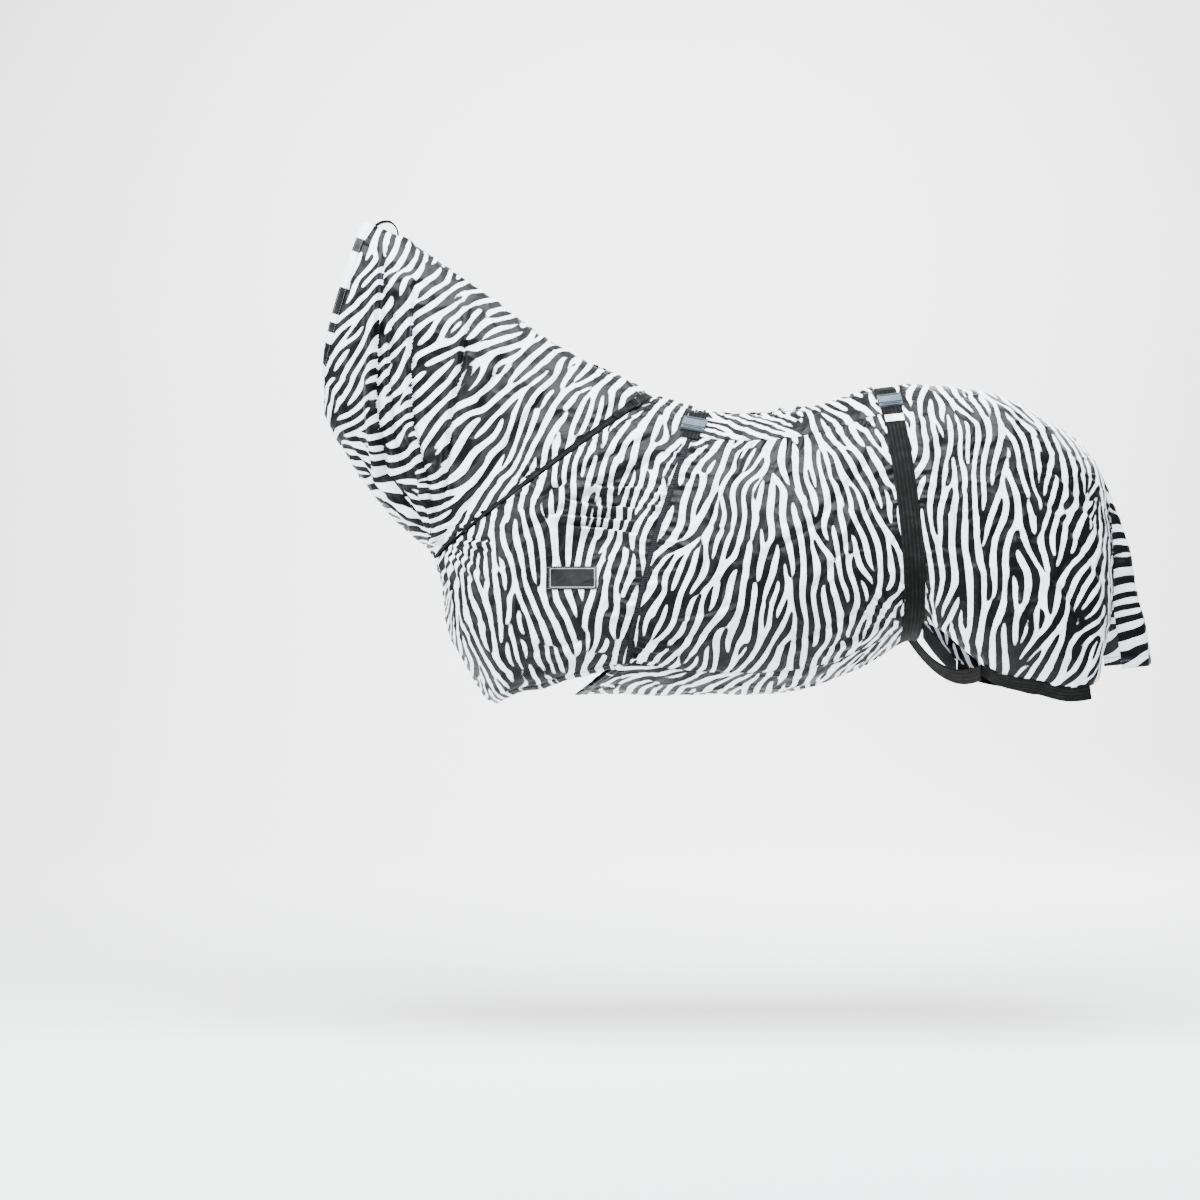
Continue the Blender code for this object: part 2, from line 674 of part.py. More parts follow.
def build_prong(name, hand, sign, plastic, frame):
    """A springy arm with a button, whose parent is an empty on its bending axis.

    sign is +1 on the buckle's +u side and -1 on the other.
    """
    low = BUCKLE_LIFT + PLUG_CLEARANCE + (PLUG_DEPTH - PRONG_DEPTH) / 2
    inner, outer = -PRONG_WIDTH / 2, PRONG_WIDTH / 2
    outline = [
        (inner, 0),
        (outer, 0),
        (outer, PRONG_LENGTH * 0.20),
        (BUTTON_REACH, PRONG_LENGTH * 0.32),
        (BUTTON_REACH, PRONG_LENGTH * 0.62),
        (outer + 0.003, PRONG_LENGTH),
        (inner + 0.001, PRONG_LENGTH),
    ]
    pivot = bpy.data.objects.new(f"prong_pivot_{hand}_{name}", None)
    bpy.context.scene.collection.objects.link(pivot)
    pivot.parent = frame
    pivot.location = (sign * PRONG_PLACE, PRONG_GAP, low)
    count = len(outline)
    vertices = [(sign * u, v, w) for w in (0, PRONG_DEPTH) for u, v in outline]
    faces = [tuple(range(count)), tuple(range(count, 2 * count))]
    faces += [(k, (k + 1) % count, count + (k + 1) % count, count + k) for k in range(count)]
    mesh = mesh_of(f"prong_{name}_{hand}", vertices, faces)
    return add_object(f"buckle_prong_{hand}_{name}", mesh, plastic, pivot)


def web_on_cloth(name, frame, low_v, high_v, lift, finish, thickness=WEBBING):
    """A short flat web in a buckle's frame, level with the buckle's underside."""
    half = WEB_WIDTH / 2
    return block(name, (-half, low_v, lift), (half, high_v, lift + thickness), finish, frame)


def build_buckles(plastic, webbing):
    places = {"front": ("girth", FRONT_BUCKLE_ROW), "rear": ("flank", REAR_BUCKLE_ROW)}
    for place_name, (station, row) in places.items():
        for side_name, side in SIDES.items():
            name = f"{place_name}_{side_name}"
            frame = bpy.data.objects.new(f"buckle_frame_{name}", None)
            bpy.context.scene.collection.objects.link(frame)
            frame.matrix_world = FORM.frame_at(station_index(station), row, side)
            build_housing(name, plastic, frame)
            build_plug(name, plastic, frame)
            for hand, sign in (("front", side), ("rear", -side)):
                build_prong(name, hand, sign, plastic, frame)
            under = BUCKLE_LIFT - WEBBING - SEAM_GAP
            web_on_cloth(
                f"plug_web_{name}",
                frame,
                -PLUG_LENGTH / 2 - PLUG_WEB_LENGTH,
                -PLUG_LENGTH / 2 + WEB_SLOT,
                under,
                webbing,
            )
            top = MOUTH_GAP + HOUSING_LENGTH
            web_on_cloth(
                f"housing_web_{name}",
                frame,
                top + SEAM_GAP,
                top + HOUSING_WEB_LENGTH,
                BUCKLE_LIFT,
                webbing,
            )


# ---------------------------------------------------------------- neck strap slider


def build_sliders(plastic, webbing):
    a = station_index("neck_strap")
    for side_name, side in SIDES.items():
        matrix = FORM.frame_at(a, SLIDER_ROW, side)
        frame = bpy.data.objects.new(f"slider_frame_{side_name}", None)
        bpy.context.scene.collection.objects.link(frame)
        frame.matrix_world = matrix
        half, thick = BRIDGE_LENGTH / 2, WEBBING * 0.6

        def foot(v):
            """How far off the frame's plane the strap lies at v, with a little clearance."""
            row = SLIDER_ROW - v / (FORM.on_facet(a, 2) - FORM.on_facet(a, 3)).length
            p = FORM.on_facet(a, row)
            return (matrix.inverted() @ Vector((p.x, p.y * -side, p.z))).z + ON_TOP + 0.0005

        profile = [
            (-half, foot(-half)),
            (-half + BRIDGE_FOOT, foot(-half + BRIDGE_FOOT)),
            (-half + BRIDGE_FOOT, BRIDGE_LIFT),
            (half - BRIDGE_FOOT, BRIDGE_LIFT),
            (half - BRIDGE_FOOT, foot(half - BRIDGE_FOOT)),
            (half, foot(half)),
            (half, BRIDGE_LIFT + thick),
            (-half, BRIDGE_LIFT + thick),
        ]
        count = len(profile)
        wide = BRIDGE_WIDTH / 2
        vertices = [(u, v, w) for u in (-wide, wide) for v, w in profile]
        faces = [tuple(range(count)), tuple(range(count, 2 * count))]
        faces += [(k, (k + 1) % count, count + (k + 1) % count, count + k) for k in range(count)]
        mesh = mesh_of(f"strap_end_{side_name}", vertices, faces)
        add_object(f"neck_strap_end_{side_name}", mesh, webbing, frame)

        low = BRIDGE_LIFT + thick / 2 - SLIDER_DEPTH / 2
        start = half - BRIDGE_FOOT - SLIDER_LENGTH - 0.002
        slider = block(
            f"strap_slider_{side_name}",
            (-SLIDER_WIDTH / 2, start, low),
            (SLIDER_WIDTH / 2, start + SLIDER_LENGTH, low + SLIDER_DEPTH),
            plastic,
            frame,
        )
        room, over = BRIDGE_WIDTH / 2 + 0.0015, 0.01
        centre = low + SLIDER_DEPTH / 2
        channel = block(
            f"slider_channel_{side_name}",
            (-room, start - over, centre - SLIDER_CHANNEL / 2),
            (room, start + SLIDER_LENGTH + over, centre + SLIDER_CHANNEL / 2),
            plastic,
            frame,
        )
        combine(slider, channel, "DIFFERENCE")
        window = (SLIDER_LENGTH - 3 * SLIDER_BAR) / 2
        for k in range(2):
            window_low = start + SLIDER_BAR + k * (window + SLIDER_BAR)
            cutter = block(
                f"slider_window_{k}_{side_name}",
                (-room, window_low, centre),
                (room, window_low + window, low + SLIDER_DEPTH + over),
                plastic,
                frame,
            )
            combine(slider, cutter, "DIFFERENCE")


# ---------------------------------------------------------------- small pieces on the cloth


def patch(name, a, angle, side, length, height, lift, thickness, finish, parts=(4, 3)):
    """A thin patch that follows the form, length along the horse and height down its side."""
    along, down = FORM.slopes(a, angle)
    across = along - down * (along.dot(down) / down.length_squared)
    lines, columns = parts[1], parts[0]
    places = []
    for i in range(lines + 1):
        turn = angle + (i / lines - 0.5) * height / down.length
        places.append(
            [(a + (j / columns - 0.5) * length / across.length, turn) for j in range(columns + 1)]
        )
    outer, inner = on_form(places, lift + thickness), on_form(places, lift)
    if side > 0:
        outer, inner = flipped(outer), flipped(inner)
    return shell(name, outer, inner, finish)


def build_label_and_keepers(label, white):
    station, angle = shoulder_places()[LABEL_ROW][LABEL_COLUMN]
    patch(
        "side_label",
        station,
        angle,
        -1,
        LABEL_LENGTH,
        LABEL_HEIGHT,
        ON_TOP,
        LABEL_THICKNESS,
        label,
    )
    a = station_index("flank")
    reach = PLUG_LENGTH / 2 + PLUG_WEB_LENGTH + KEEPER_LENGTH * 0.7
    row_length = (FORM.on_facet(a, 3) - FORM.on_facet(a, 4)).length
    for side_name, side in SIDES.items():
        frame = bpy.data.objects.new(f"keeper_frame_{side_name}", None)
        bpy.context.scene.collection.objects.link(frame)
        frame.matrix_world = FORM.frame_at(a, REAR_BUCKLE_ROW + reach / row_length, side)
        half = KEEPER_LENGTH / 2
        name = f"strap_keeper_{side_name}"
        web_on_cloth(name, frame, -half, half, ON_TOP, white, LABEL_THICKNESS)


def build_poll_loop(webbing):
    """A web loop over the crest behind the poll. It takes the headcollar's headpiece."""
    a_front, a_rear = POLL_LOOP_STATIONS
    front, rear = FORM.point(a_front, 0.0), FORM.point(a_rear, 0.0)
    half = POLL_LOOP_WIDTH / 2
    run = (rear - front).normalized()
    off = Vector((-run.z, 0, run.x))
    base_top = ON_TOP + POLL_LOOP_BASE

    def strip(name, path, thickness):
        outer, inner = [], []
        for k, p in enumerate(path):
            step = path[min(k + 1, len(path) - 1)] - path[max(k - 1, 0)]
            up = Vector((-step.z, 0, step.x)).normalized()
            if up.dot(off) < 0:
                up = -up
            wide = Vector((0, half, 0))
            outer.append([p + up * thickness - wide, p + up * thickness + wide])
            inner.append([p - wide, p + wide])
        return shell(name, outer, inner, webbing)

    length = (rear - front).length
    crest = [FORM.point(a_front + (a_rear - a_front) * k / 6, 0.0) for k in range(7)]
    strip("poll_loop_base", [p + off * ON_TOP for p in crest], POLL_LOOP_BASE)
    arch = []
    for k in range(9):
        t = k / 8
        along = front + run * (length * t)
        rise = POLL_LOOP_HEIGHT * math.sin(math.pi * t) ** 0.75 if 0 < t < 1 else 0.0
        place = a_front + (a_rear - a_front) * t
        ground = (FORM.point(place, 0.0) - front).dot(off)
        arch.append(along + off * (max(ground, 0.0) + base_top + POLL_LOOP_GAP + rise))
    strip("poll_loop", arch, WEBBING)


def tail_seam():
    """The rump panels' rear edge over the tail root, from the left side to the right side."""
    a, points = station_index("rear_edge"), []
    for k in range(-TAIL_SEAM_ROWS, TAIL_SEAM_ROWS + 1):
        angle = FORM.row(a, abs(k))
        p, n = FORM.point(a, angle), FORM.normal(a, angle)
        back = FORM.slopes(a, angle)[0].normalized() * SEAM_GAP
        p, low = p + back, p + back - n * FABRIC
        points.append(flipped([[p, low]])[0] if k > 0 else [p, low])
    return points


def on_hinge(points, hinge):
    """The points as seen from the hinge."""
    return [[p - hinge.location for p in line] for line in points]


def build_tail_flap(cloth, webbing):
    """A curved flap that hangs over the tail, from the seam across the tail root."""
    seam = tail_seam()
    scale = Vector((BACK_LENGTH / REFERENCE["length"], 0, BODY_DEPTH / REFERENCE["depth"]))
    top_half = seam[-1][0].y

    def along(line, t):
        x, z = (through([p[axis] for p in line], t * (len(line) - 1)) for axis in (0, 1))
        return Vector((x * scale.x, 0, z * scale.z))

    outer, inner = [[line[0] for line in seam]], [[line[1] for line in seam]]
    for i in range(1, TAIL_FLAP_ROWS + 1):
        t = i / TAIL_FLAP_ROWS
        half = top_half + (TAIL_FLAP_LOW_HALF - top_half) * t
        line_out, line_in = [], []
        for k in range(-TAIL_SEAM_ROWS, TAIL_SEAM_ROWS + 1):
            swing = k / TAIL_SEAM_ROWS * math.pi / 2
            p = along(TAIL_SIDE, t).lerp(along(TAIL_MIDDLE, t), math.cos(swing))
            p.y = half * math.sin(swing)
            away = Vector((math.cos(swing), math.sin(swing) * 0.9, 0.25 * (1 - t))).normalized()
            line_out.append(p)
            line_in.append(p - away * FABRIC)
        outer.append(line_out)
        inner.append(line_in)
    hinge = bpy.data.objects.new("tail_hinge", None)
    bpy.context.scene.collection.objects.link(hinge)
    hinge.location = seam[TAIL_SEAM_ROWS][0]
    shell("tail_flap", on_hinge(outer, hinge), on_hinge(inner, hinge), cloth, parent=hinge)
    low_out, low_in = [], []
    for p, q, above in zip(outer[-1], inner[-1], outer[-2]):
        fall = (p - above).normalized()
        low_out.append([p + fall * SEAM_GAP, p + fall * TAIL_HEM_WIDTH])
        low_in.append([q + fall * SEAM_GAP, q + fall * TAIL_HEM_WIDTH])
    hem = on_hinge(low_out, hinge), on_hinge(low_in, hinge)
    shell("tail_flap_hem", *hem, webbing, parent=hinge)


def build():
    clear_scene()
    cloth = material("zebra_cloth", (0.55, 0.57, 0.60), 0.5)
    webbing = material("black_webbing", (0.045, 0.047, 0.045), 0.75)
    elastic = material("ruched_elastic", (0.20, 0.21, 0.22), 0.8)
    plastic = material("grey_plastic", (0.30, 0.33, 0.36), 0.35)
    label = material("label_cloth", (0.02, 0.02, 0.022), 0.7)
    white = material("white_elastic", (0.80, 0.80, 0.78), 0.8)
    build_panels(cloth)
    build_strips(webbing, elastic)
    build_belly(cloth)
    build_hems(cloth, webbing)
    build_head_hem(cloth)
    build_leg_straps(webbing)
    build_buckles(plastic, webbing)
    build_sliders(plastic, webbing)
    build_label_and_keepers(label, white)
    build_poll_loop(webbing)
    build_tail_flap(cloth, webbing)


build()
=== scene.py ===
"""Dresses the fly sheet's frame: striped cloth, webbing, buckles, stitches and a studio."""

import math

import bmesh
import bpy
import numpy as np
from mathutils import Matrix, Vector


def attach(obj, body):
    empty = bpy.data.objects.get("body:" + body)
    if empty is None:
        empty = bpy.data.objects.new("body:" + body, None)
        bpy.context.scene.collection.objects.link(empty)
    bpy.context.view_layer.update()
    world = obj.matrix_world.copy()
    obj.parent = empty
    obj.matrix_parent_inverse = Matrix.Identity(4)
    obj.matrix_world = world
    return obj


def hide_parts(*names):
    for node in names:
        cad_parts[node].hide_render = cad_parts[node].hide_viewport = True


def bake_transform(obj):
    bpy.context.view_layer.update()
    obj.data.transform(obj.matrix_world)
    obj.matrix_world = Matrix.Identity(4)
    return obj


bl_info = {
    "name": "Fly Sheet Dresser",
    "version": (1, 0, 0),
    "blender": (4, 5, 0),
    "location": "3D View > Sidebar > Fly Sheet",
    "description": "Cloth, webbing, hardware and studio for a horse's fly sheet",
    "category": "Object",
}

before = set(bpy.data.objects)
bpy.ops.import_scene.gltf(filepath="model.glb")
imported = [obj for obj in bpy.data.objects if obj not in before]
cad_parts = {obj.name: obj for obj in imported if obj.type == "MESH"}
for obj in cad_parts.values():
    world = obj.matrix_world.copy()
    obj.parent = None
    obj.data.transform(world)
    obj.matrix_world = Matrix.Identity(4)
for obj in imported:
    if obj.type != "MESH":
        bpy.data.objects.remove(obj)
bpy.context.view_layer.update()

# ---------------------------------------------------------------- the form that the cloth follows

# Each station: top x, z, low x, z, half width, bow, how low the widest part is, how square,
# and the angle in degrees where the cloth ends.
STATIONS = np.array(
    [
        (-0.751, 0.459, -0.878, 0.030, 0.115, 0.000, 0.05, 0.00, 180),
        (-0.689, 0.432, -0.869, -0.051, 0.120, 0.000, 0.06, 0.00, 180),
        (-0.608, 0.386, -0.837, -0.124, 0.125, 0.000, 0.08, 0.00, 180),
        (-0.500, 0.310, -0.797, -0.178, 0.130, 0.000, 0.10, 0.00, 180),
        (-0.392, 0.235, -0.751, -0.243, 0.135, 0.000, 0.10, 0.00, 180),
        (-0.284, 0.151, -0.697, -0.319, 0.145, 0.000, 0.10, 0.00, 180),
        (-0.176, 0.092, -0.640, -0.375, 0.160, 0.000, 0.10, 0.00, 180),
        (-0.081, 0.049, -0.605, -0.405, 0.180, 0.000, 0.10, 0.00, 180),
        (0.000, 0.000, -0.583, -0.432, 0.200, -0.008, 0.10, 0.00, 180),
        (0.027, -0.011, -0.562, -0.505, 0.225, -0.008, 0.11, 0.02, 180),
        (0.049, -0.016, -0.548, -0.605, 0.250, -0.010, 0.13, 0.04, 180),
        (0.068, -0.022, -0.508, -0.699, 0.265, -0.012, 0.15, 0.06, 180),
        (0.086, -0.027, -0.429, -0.818, 0.275, -0.015, 0.18, 0.08, 180),
        (0.103, -0.032, -0.310, -0.821, 0.285, -0.020, 0.19, 0.08, 152),
        (0.119, -0.038, -0.194, -0.805, 0.292, -0.025, 0.18, 0.07, 145),
        (0.135, -0.043, -0.076, -0.799, 0.300, -0.030, 0.16, 0.06, 141),
        (0.243, -0.051, 0.081, -0.799, 0.310, -0.014, 0.13, 0.04, 146),
        (0.365, -0.043, 0.257, -0.802, 0.318, 0.000, 0.12, 0.03, 147),
        (0.473, -0.022, 0.419, -0.786, 0.318, 0.006, 0.12, 0.03, 147),
        (0.562, 0.008, 0.572, -0.726, 0.311, 0.008, 0.12, 0.03, 148),
        (0.626, 0.019, 0.691, -0.659, 0.302, 0.010, 0.13, 0.04, 149),
        (0.689, 0.024, 0.751, -0.686, 0.300, 0.010, 0.15, 0.06, 146),
        (0.770, 0.024, 0.818, -0.740, 0.300, 0.010, 0.17, 0.08, 148),
        (0.851, 0.014, 0.905, -0.821, 0.300, 0.010, 0.18, 0.09, 145),
        (0.945, -0.005, 1.007, -0.861, 0.293, 0.010, 0.18, 0.09, 141),
        (1.026, -0.043, 1.085, -0.896, 0.280, 0.015, 0.18, 0.09, 137),
        (1.102, -0.089, 1.145, -0.915, 0.256, 0.030, 0.18, 0.08, 130),
        (1.156, -0.132, 1.130, -0.929, 0.210, 0.052, 0.18, 0.06, 120),
        (1.188, -0.167, 1.100, -0.942, 0.130, 0.075, 0.18, 0.04, 108),
    ]
)
NECK_STRAP, CHEST_CORNER, GIRTH, FLANK, REAR_EDGE = 8, 12, 15, 20, 28
SLIT_FIRST, SLIT_LAST = 11, 22
CHEST_ARC = 0.6
ROWS, BELLY_ROWS, SADDLE_ROW = 12, 4, 3
SLIT_WIDTH = 0.020
NECK_STRAP_WIDTH, GIRTH_WIDTH, FLANK_WIDTH = 0.025, 0.014, 0.052
FRONT_HEM_WIDTH, HEAD_HEM_WIDTH, HIND_BAND_WIDTH = 0.020, 0.022, 0.040
LEG_STRAP_WIDTH = 0.040
WEB_WIDTH, WEBBING = 0.050, 0.0025
BUCKLE_LIFT = WEBBING + 0.0009  # from the cloth to the buckle's underside
PLUG_WEB = (-0.0395, -0.0023)  # where the lower web starts and ends along the strap
HOUSING_WEB = (0.0347, 0.0644)  # and the upper web
SLIDER_ROW, SLIDER_ROOM = 2.45, 0.0016  # the cloth's height over the facet along the slider's path
SLIDER_PATH = (0.004, 0.052)  # the path's middle and half its length along the strap
SLIDER_HALF_WIDTH = 0.018
BUCKLE_ROOM = (0.030, 0.008, 0.064)  # half the width, the middle and half the length it takes
CALM_HEIGHT, CALM_MARGIN = 0.05, 0.022  # how far off the facet, and beside it, cloth is kept calm
HIND_BAND = (22.55, 25.75)
TONGUE_REACH = 0.95
BUCKLE_ROW = 2.5
SHOULDER_KEYS = [9, 10, 11, 12, 12.046, 12.176, 12.37, 12.6, 13.2, 13.8, 14.4]
TAIL_MIDDLE = np.array(
    [
        (1.190, 0, -0.169),
        (1.240, 0, -0.275),
        (1.278, 0, -0.405),
        (1.304, 0, -0.520),
        (1.339, 0, -0.700),
    ]
)
TAIL_SIDE = np.array(
    [
        (1.209, 0, -0.244),
        (1.228, 0, -0.330),
        (1.232, 0, -0.440),
        (1.230, 0, -0.550),
        (1.249, 0, -0.710),
    ]
)
TAIL_LOW_HALF = 0.115
TAIL_HEM_WIDTH = 0.024
SIDES = {"left": -1, "right": 1}
STEP = 0.004  # spacing of the cloth's points
WIDE_STEP = 0.005  # and on the two largest panels, to keep them under 200,000 triangles
CLOTH_THICKNESS = 0.0009
STRAP_THICKNESS, BAND_THICKNESS, LEG_STRAP_THICKNESS = 0.0022, 0.0026, 0.0024
HEM_THICKNESS = 0.0022
LAP = 0.006  # how much wider than its seam a strap is, so that it laps over the cloth
WEB_THREAD, HEM_THREAD, CLOTH_THREAD = 0.0003, 0.0004, 0.0006  # how far thread stands off each
POLL_LOOP = {"poll_loop": (9, 0.0040), "poll_loop_base": (7, 0.0014)}  # points and thickness
LABEL_X, LABEL_Z, LABEL_POINTS = (-0.2700, -0.1430), (-0.464, -0.524), (23, 45)


def through(values, t):
    """Smooth (Catmull-Rom) values at each t through evenly spaced rows."""
    t = np.asarray(t, float)
    last = len(values) - 1
    i = np.clip(np.floor(t).astype(int), 0, last - 1)
    f = (t - i)[..., None]
    p1, p2 = values[i], values[i + 1]
    p0 = np.where((i > 0)[..., None], values[np.maximum(i - 1, 0)], 2 * p1 - p2)
    p3 = np.where((i + 2 <= last)[..., None], values[np.minimum(i + 2, last)], 2 * p2 - p1)
    return 0.5 * (
        2 * p1
        + (p2 - p0) * f
        + (2 * p0 - 5 * p1 + 4 * p2 - p3) * f * f
        + (3 * p1 - p0 - 3 * p2 + p3) * f**3
    )


def form_point(a, angle):
    """Points on the form, by station and angle round it from the top."""
    top_x, top_z, low_x, low_z, half, bow, low, square, _ = np.moveaxis(through(STATIONS, a), -1, 0)
    share = (1 - np.cos(angle)) / 2
    swell = np.sin(angle) - low * np.sin(2 * angle) + square * np.sin(3 * angle)
    x = top_x + (low_x - top_x) * share + bow * 4 * share * (1 - share)
    return np.stack([x, -half * swell, top_z + (low_z - top_z) * share], -1)


def form_slopes(a, angle):
    """How the points move per station and per radian."""
    da, dt = 0.02, 0.01
    along = (form_point(a + da, angle) - form_point(a - da, angle)) / (2 * da)
    down = (form_point(a, angle + dt) - form_point(a, angle - dt)) / (2 * dt)
    return along, down


def unit(v):
    return v / np.maximum(np.linalg.norm(v, axis=-1, keepdims=True), 1e-12)


def dot(a, b):
    return (a * b).sum(-1)


def smooth(t):
    """0 to 1 with level ends."""
    return t * t * (3 - 2 * t)


def seen_from(matrix, p):
    """Points in the axes of a matrix."""
    local = np.array(matrix.inverted())
    return p @ local[:3, :3].T + local[:3, 3]


def steps_along(v, first, second, least):
    """How far to go along two slopes, which may be skew, to make up each step in v."""
    b1, b2 = dot(v, first), dot(v, second)
    g11, g12, g22 = dot(first, first), dot(first, second), dot(second, second)
    det = np.maximum(g11 * g22 - g12 * g12, least)
    return (g22 * b1 - g12 * b2) / det, (g11 * b2 - g12 * b1) / det


def form_normal(a, angle):
    """The way off the form."""
    along, down = form_slopes(a, angle)
    return unit(np.cross(down, along))


def hem_angle(a):
    """The angle where the cloth's lower edge lies at each station."""
    a = np.asarray(a, float)
    after = CHEST_CORNER + CHEST_ARC
    ends = np.radians(through(STATIONS, np.maximum(a, CHEST_CORNER + 1))[..., -1])
    open_angle = math.pi - math.radians(STATIONS[CHEST_CORNER + 1, -1])
    left = np.clip((after - a) / CHEST_ARC, 0, 1)
    turn = math.pi - open_angle * np.sqrt(np.maximum(0, 1 - left * left))
    return np.where(a <= CHEST_CORNER, math.pi, np.where(a < after, turn, ends))


def slit_angle(a):
    """The angle where the cloth starts, beside the gap along the spine."""
    a = np.asarray(a, float)
    ease = np.minimum(1, np.minimum((a - SLIT_FIRST) / 1.5, (SLIT_LAST - a) / 1.0))
    half_gap = SLIT_WIDTH / 2 * np.sin(np.clip(ease, 0, 1) * math.pi / 2)
    _, down = form_slopes(a, 0 * a)
    return half_gap / np.abs(down[..., 1])


def row_angle(a, row):
    """The angle of a row: down the side first, then under the belly."""
    a, row = np.broadcast_arrays(np.asarray(a, float), np.asarray(row, float))
    end, start = hem_angle(a), slit_angle(a)
    upper = start + (end - start) * row / ROWS
    lower = end + (math.pi - end) * (row - ROWS) / BELLY_ROWS
    return np.where(row <= ROWS, upper, lower)


def beside(station, distance):
    """A line at that distance behind a station, as a function of the row."""

    def place(row):
        a = np.full(np.shape(row), float(station))
        along, down = form_slopes(a, row_angle(a, row))
        across = along - down * (dot(along, down) / dot(down, down))[..., None]
        return a + np.asarray(distance) / np.linalg.norm(across, axis=-1)

    return place


def belly_front(row):
    """The belly panel's front edge, a tongue that reaches forwards."""
    share = (row - ROWS) / BELLY_ROWS
    seam = beside(GIRTH, GIRTH_WIDTH / 2)(np.array(float(ROWS)))
    return seam - TONGUE_REACH * np.sin(share * math.pi / 2)


def facet_frame(station, row, side):
    """Axes on the frame's facet: u across, v up towards the spine, w off the cloth."""
    i, a = int(row), np.array(float(station))
    low, high = (form_point(a, row_angle(a, k)) for k in (i, i + 1))
    origin, up = low + (high - low) * (row - i), unit(low - high)
    off = form_normal(a, row_angle(a, row))
    off = unit(off - up * dot(off, up))
    if side > 0:
        origin, up, off = (v * (1, -1, 1) for v in (origin, up, off))
    made = Matrix((np.cross(up, off), up, off)).transposed().to_4x4()
    made.translation = origin
    return made


def facet_height(station, row, distances):
    """How far the smooth form stands above the facet's plane, at distances up the strap."""
    rows = np.linspace(row - 2, row + 2, 41)
    stations = 0 * rows + station
    p = seen_from(
        facet_frame(station, row, -1), form_point(stations, row_angle(stations, rows))
    )
    return np.interp(distances, p[::-1, 1], p[::-1, 2])


def beneath(p, station, row, half_width, middle, half_length):
    """0 under a piece of hardware and 1 a little way off it, and the height over its facet."""
    near = p * (1, 0, 1) - np.abs(p) * (0, 1, 0)
    u, v, w = np.moveaxis(seen_from(facet_frame(station, row, -1), near), -1, 0)
    off = np.hypot(
        np.maximum(np.abs(u) - half_width, 0), np.maximum(np.abs(v - middle) - half_length, 0)
    )
    off = np.hypot(off, np.maximum(np.abs(w) - CALM_HEIGHT, 0))
    return smooth(np.clip(off / CALM_MARGIN, 0, 1)), w


def under_hardware(p):
    """0 under a buckle, its webs or a slider's path, and how far the cloth dips for the slider."""
    calm = 1.0
    for station in (GIRTH, FLANK):
        calm = calm * beneath(p, station, BUCKLE_ROW, *BUCKLE_ROOM)[0]
    clear, height = beneath(p, NECK_STRAP, SLIDER_ROW, SLIDER_HALF_WIDTH, *SLIDER_PATH)
    return calm * clear, (1 - clear) * np.maximum(height - SLIDER_ROOM, 0)


# ---------------------------------------------------------------- grids of cloth


class Grid:
    """Points of a piece of cloth in rows and columns, with distances from its edges."""

    def __init__(self, points, normals):
        self.p, self.n = points, normals
        self.facing = np.ones(3)  # -1 in y where the grid is a mirrored one
        steps = np.linalg.norm(np.diff(points, axis=1), axis=-1)
        self.u = np.pad(np.cumsum(steps, 1), ((0, 0), (1, 0)))
        steps = np.linalg.norm(np.diff(points, axis=0), axis=-1)
        self.v = np.pad(np.cumsum(steps, 0), ((1, 0), (0, 0)))
        self.edges = {
            "front": (self.u, self.v),
            "rear": (self.u[:, -1:] - self.u, self.v),
            "top": (self.v, self.u),
            "foot": (self.v[-1:] - self.v, self.u),
        }

    def mirrored(self):
        made = Grid(self.p * (1, -1, 1), self.n * (1, -1, 1))
        made.a, made.angle, made.facing = self.a, self.angle, np.array((1, -1, 1))
        return made


def spaced(lengths, step):
    """How many steps each length takes."""
    return np.maximum(1, np.ceil(np.asarray(lengths) / step)).astype(int)


def form_grid(front, rear, low, high, keys=None, step=STEP):
    """A grid on the form between two lines and two rows."""
    shares = np.linspace(0, 1, 13)
    if keys:
        first, last = front(np.array(float(ROWS))), rear(np.array(float(ROWS)))
        shares = np.array([0.0] + [(a - first) / (last - first) for a in keys] + [1.0])

    def points(rows, shares):
        rows = rows[:, None]
        a = front(rows) + (rear(rows) - front(rows)) * shares[None, :]
        angle = row_angle(a, rows)
        return a, angle, form_point(a, angle)

    _, _, rough = points(np.linspace(low, high, 25), shares)
    wide = np.linalg.norm(np.diff(rough, axis=1), axis=-1).max(0)
    tall = np.linalg.norm(np.diff(rough, axis=0), axis=-1).sum(0).max()
    counts = spaced(wide, step)
    fine = [np.linspace(a, b, c, endpoint=False) for a, b, c in zip(shares, shares[1:], counts)]
    rows = np.linspace(low, high, int(spaced(tall, step)) + 1)
    a, angle, p = points(rows, np.concatenate(fine + [[1.0]]))
    grid = Grid(p, form_normal(a, angle))
    grid.a, grid.angle = a, angle
    return grid


# ---------------------------------------------------------------- folds, gathers and ripples


def wander(s, seed, wavelength):
    """Smooth noise along a line, about -1 to 1."""
    rng = np.random.default_rng(seed)
    made = 0
    for _ in range(5):
        made = made + np.sin(
            s * 2 * math.pi / (wavelength * rng.uniform(0.7, 2.2)) + rng.uniform(0, 6.3)
        )
    return made / 2.6


def undulation(p, seed, size):
    """Smooth noise in space, about -1 to 1."""
    rng = np.random.default_rng(seed)
    made = 0
    for _ in range(14):
        way = unit(rng.standard_normal(3)) * 2 * math.pi / (size * rng.uniform(0.7, 1.8))
        made = made + np.sin(p @ way + rng.uniform(0, 6.3))
    return made / 4.5


def creases(p, seed, size):
    """Fine sharp wrinkles in space, about 0 to 1: thin where two slow noises cross nought."""
    first, second = undulation(p, seed, size), undulation(p, seed + 40, size * 0.6)
    return np.exp(-((first / 0.16) ** 2)) + 0.6 * np.exp(-((second / 0.14) ** 2))


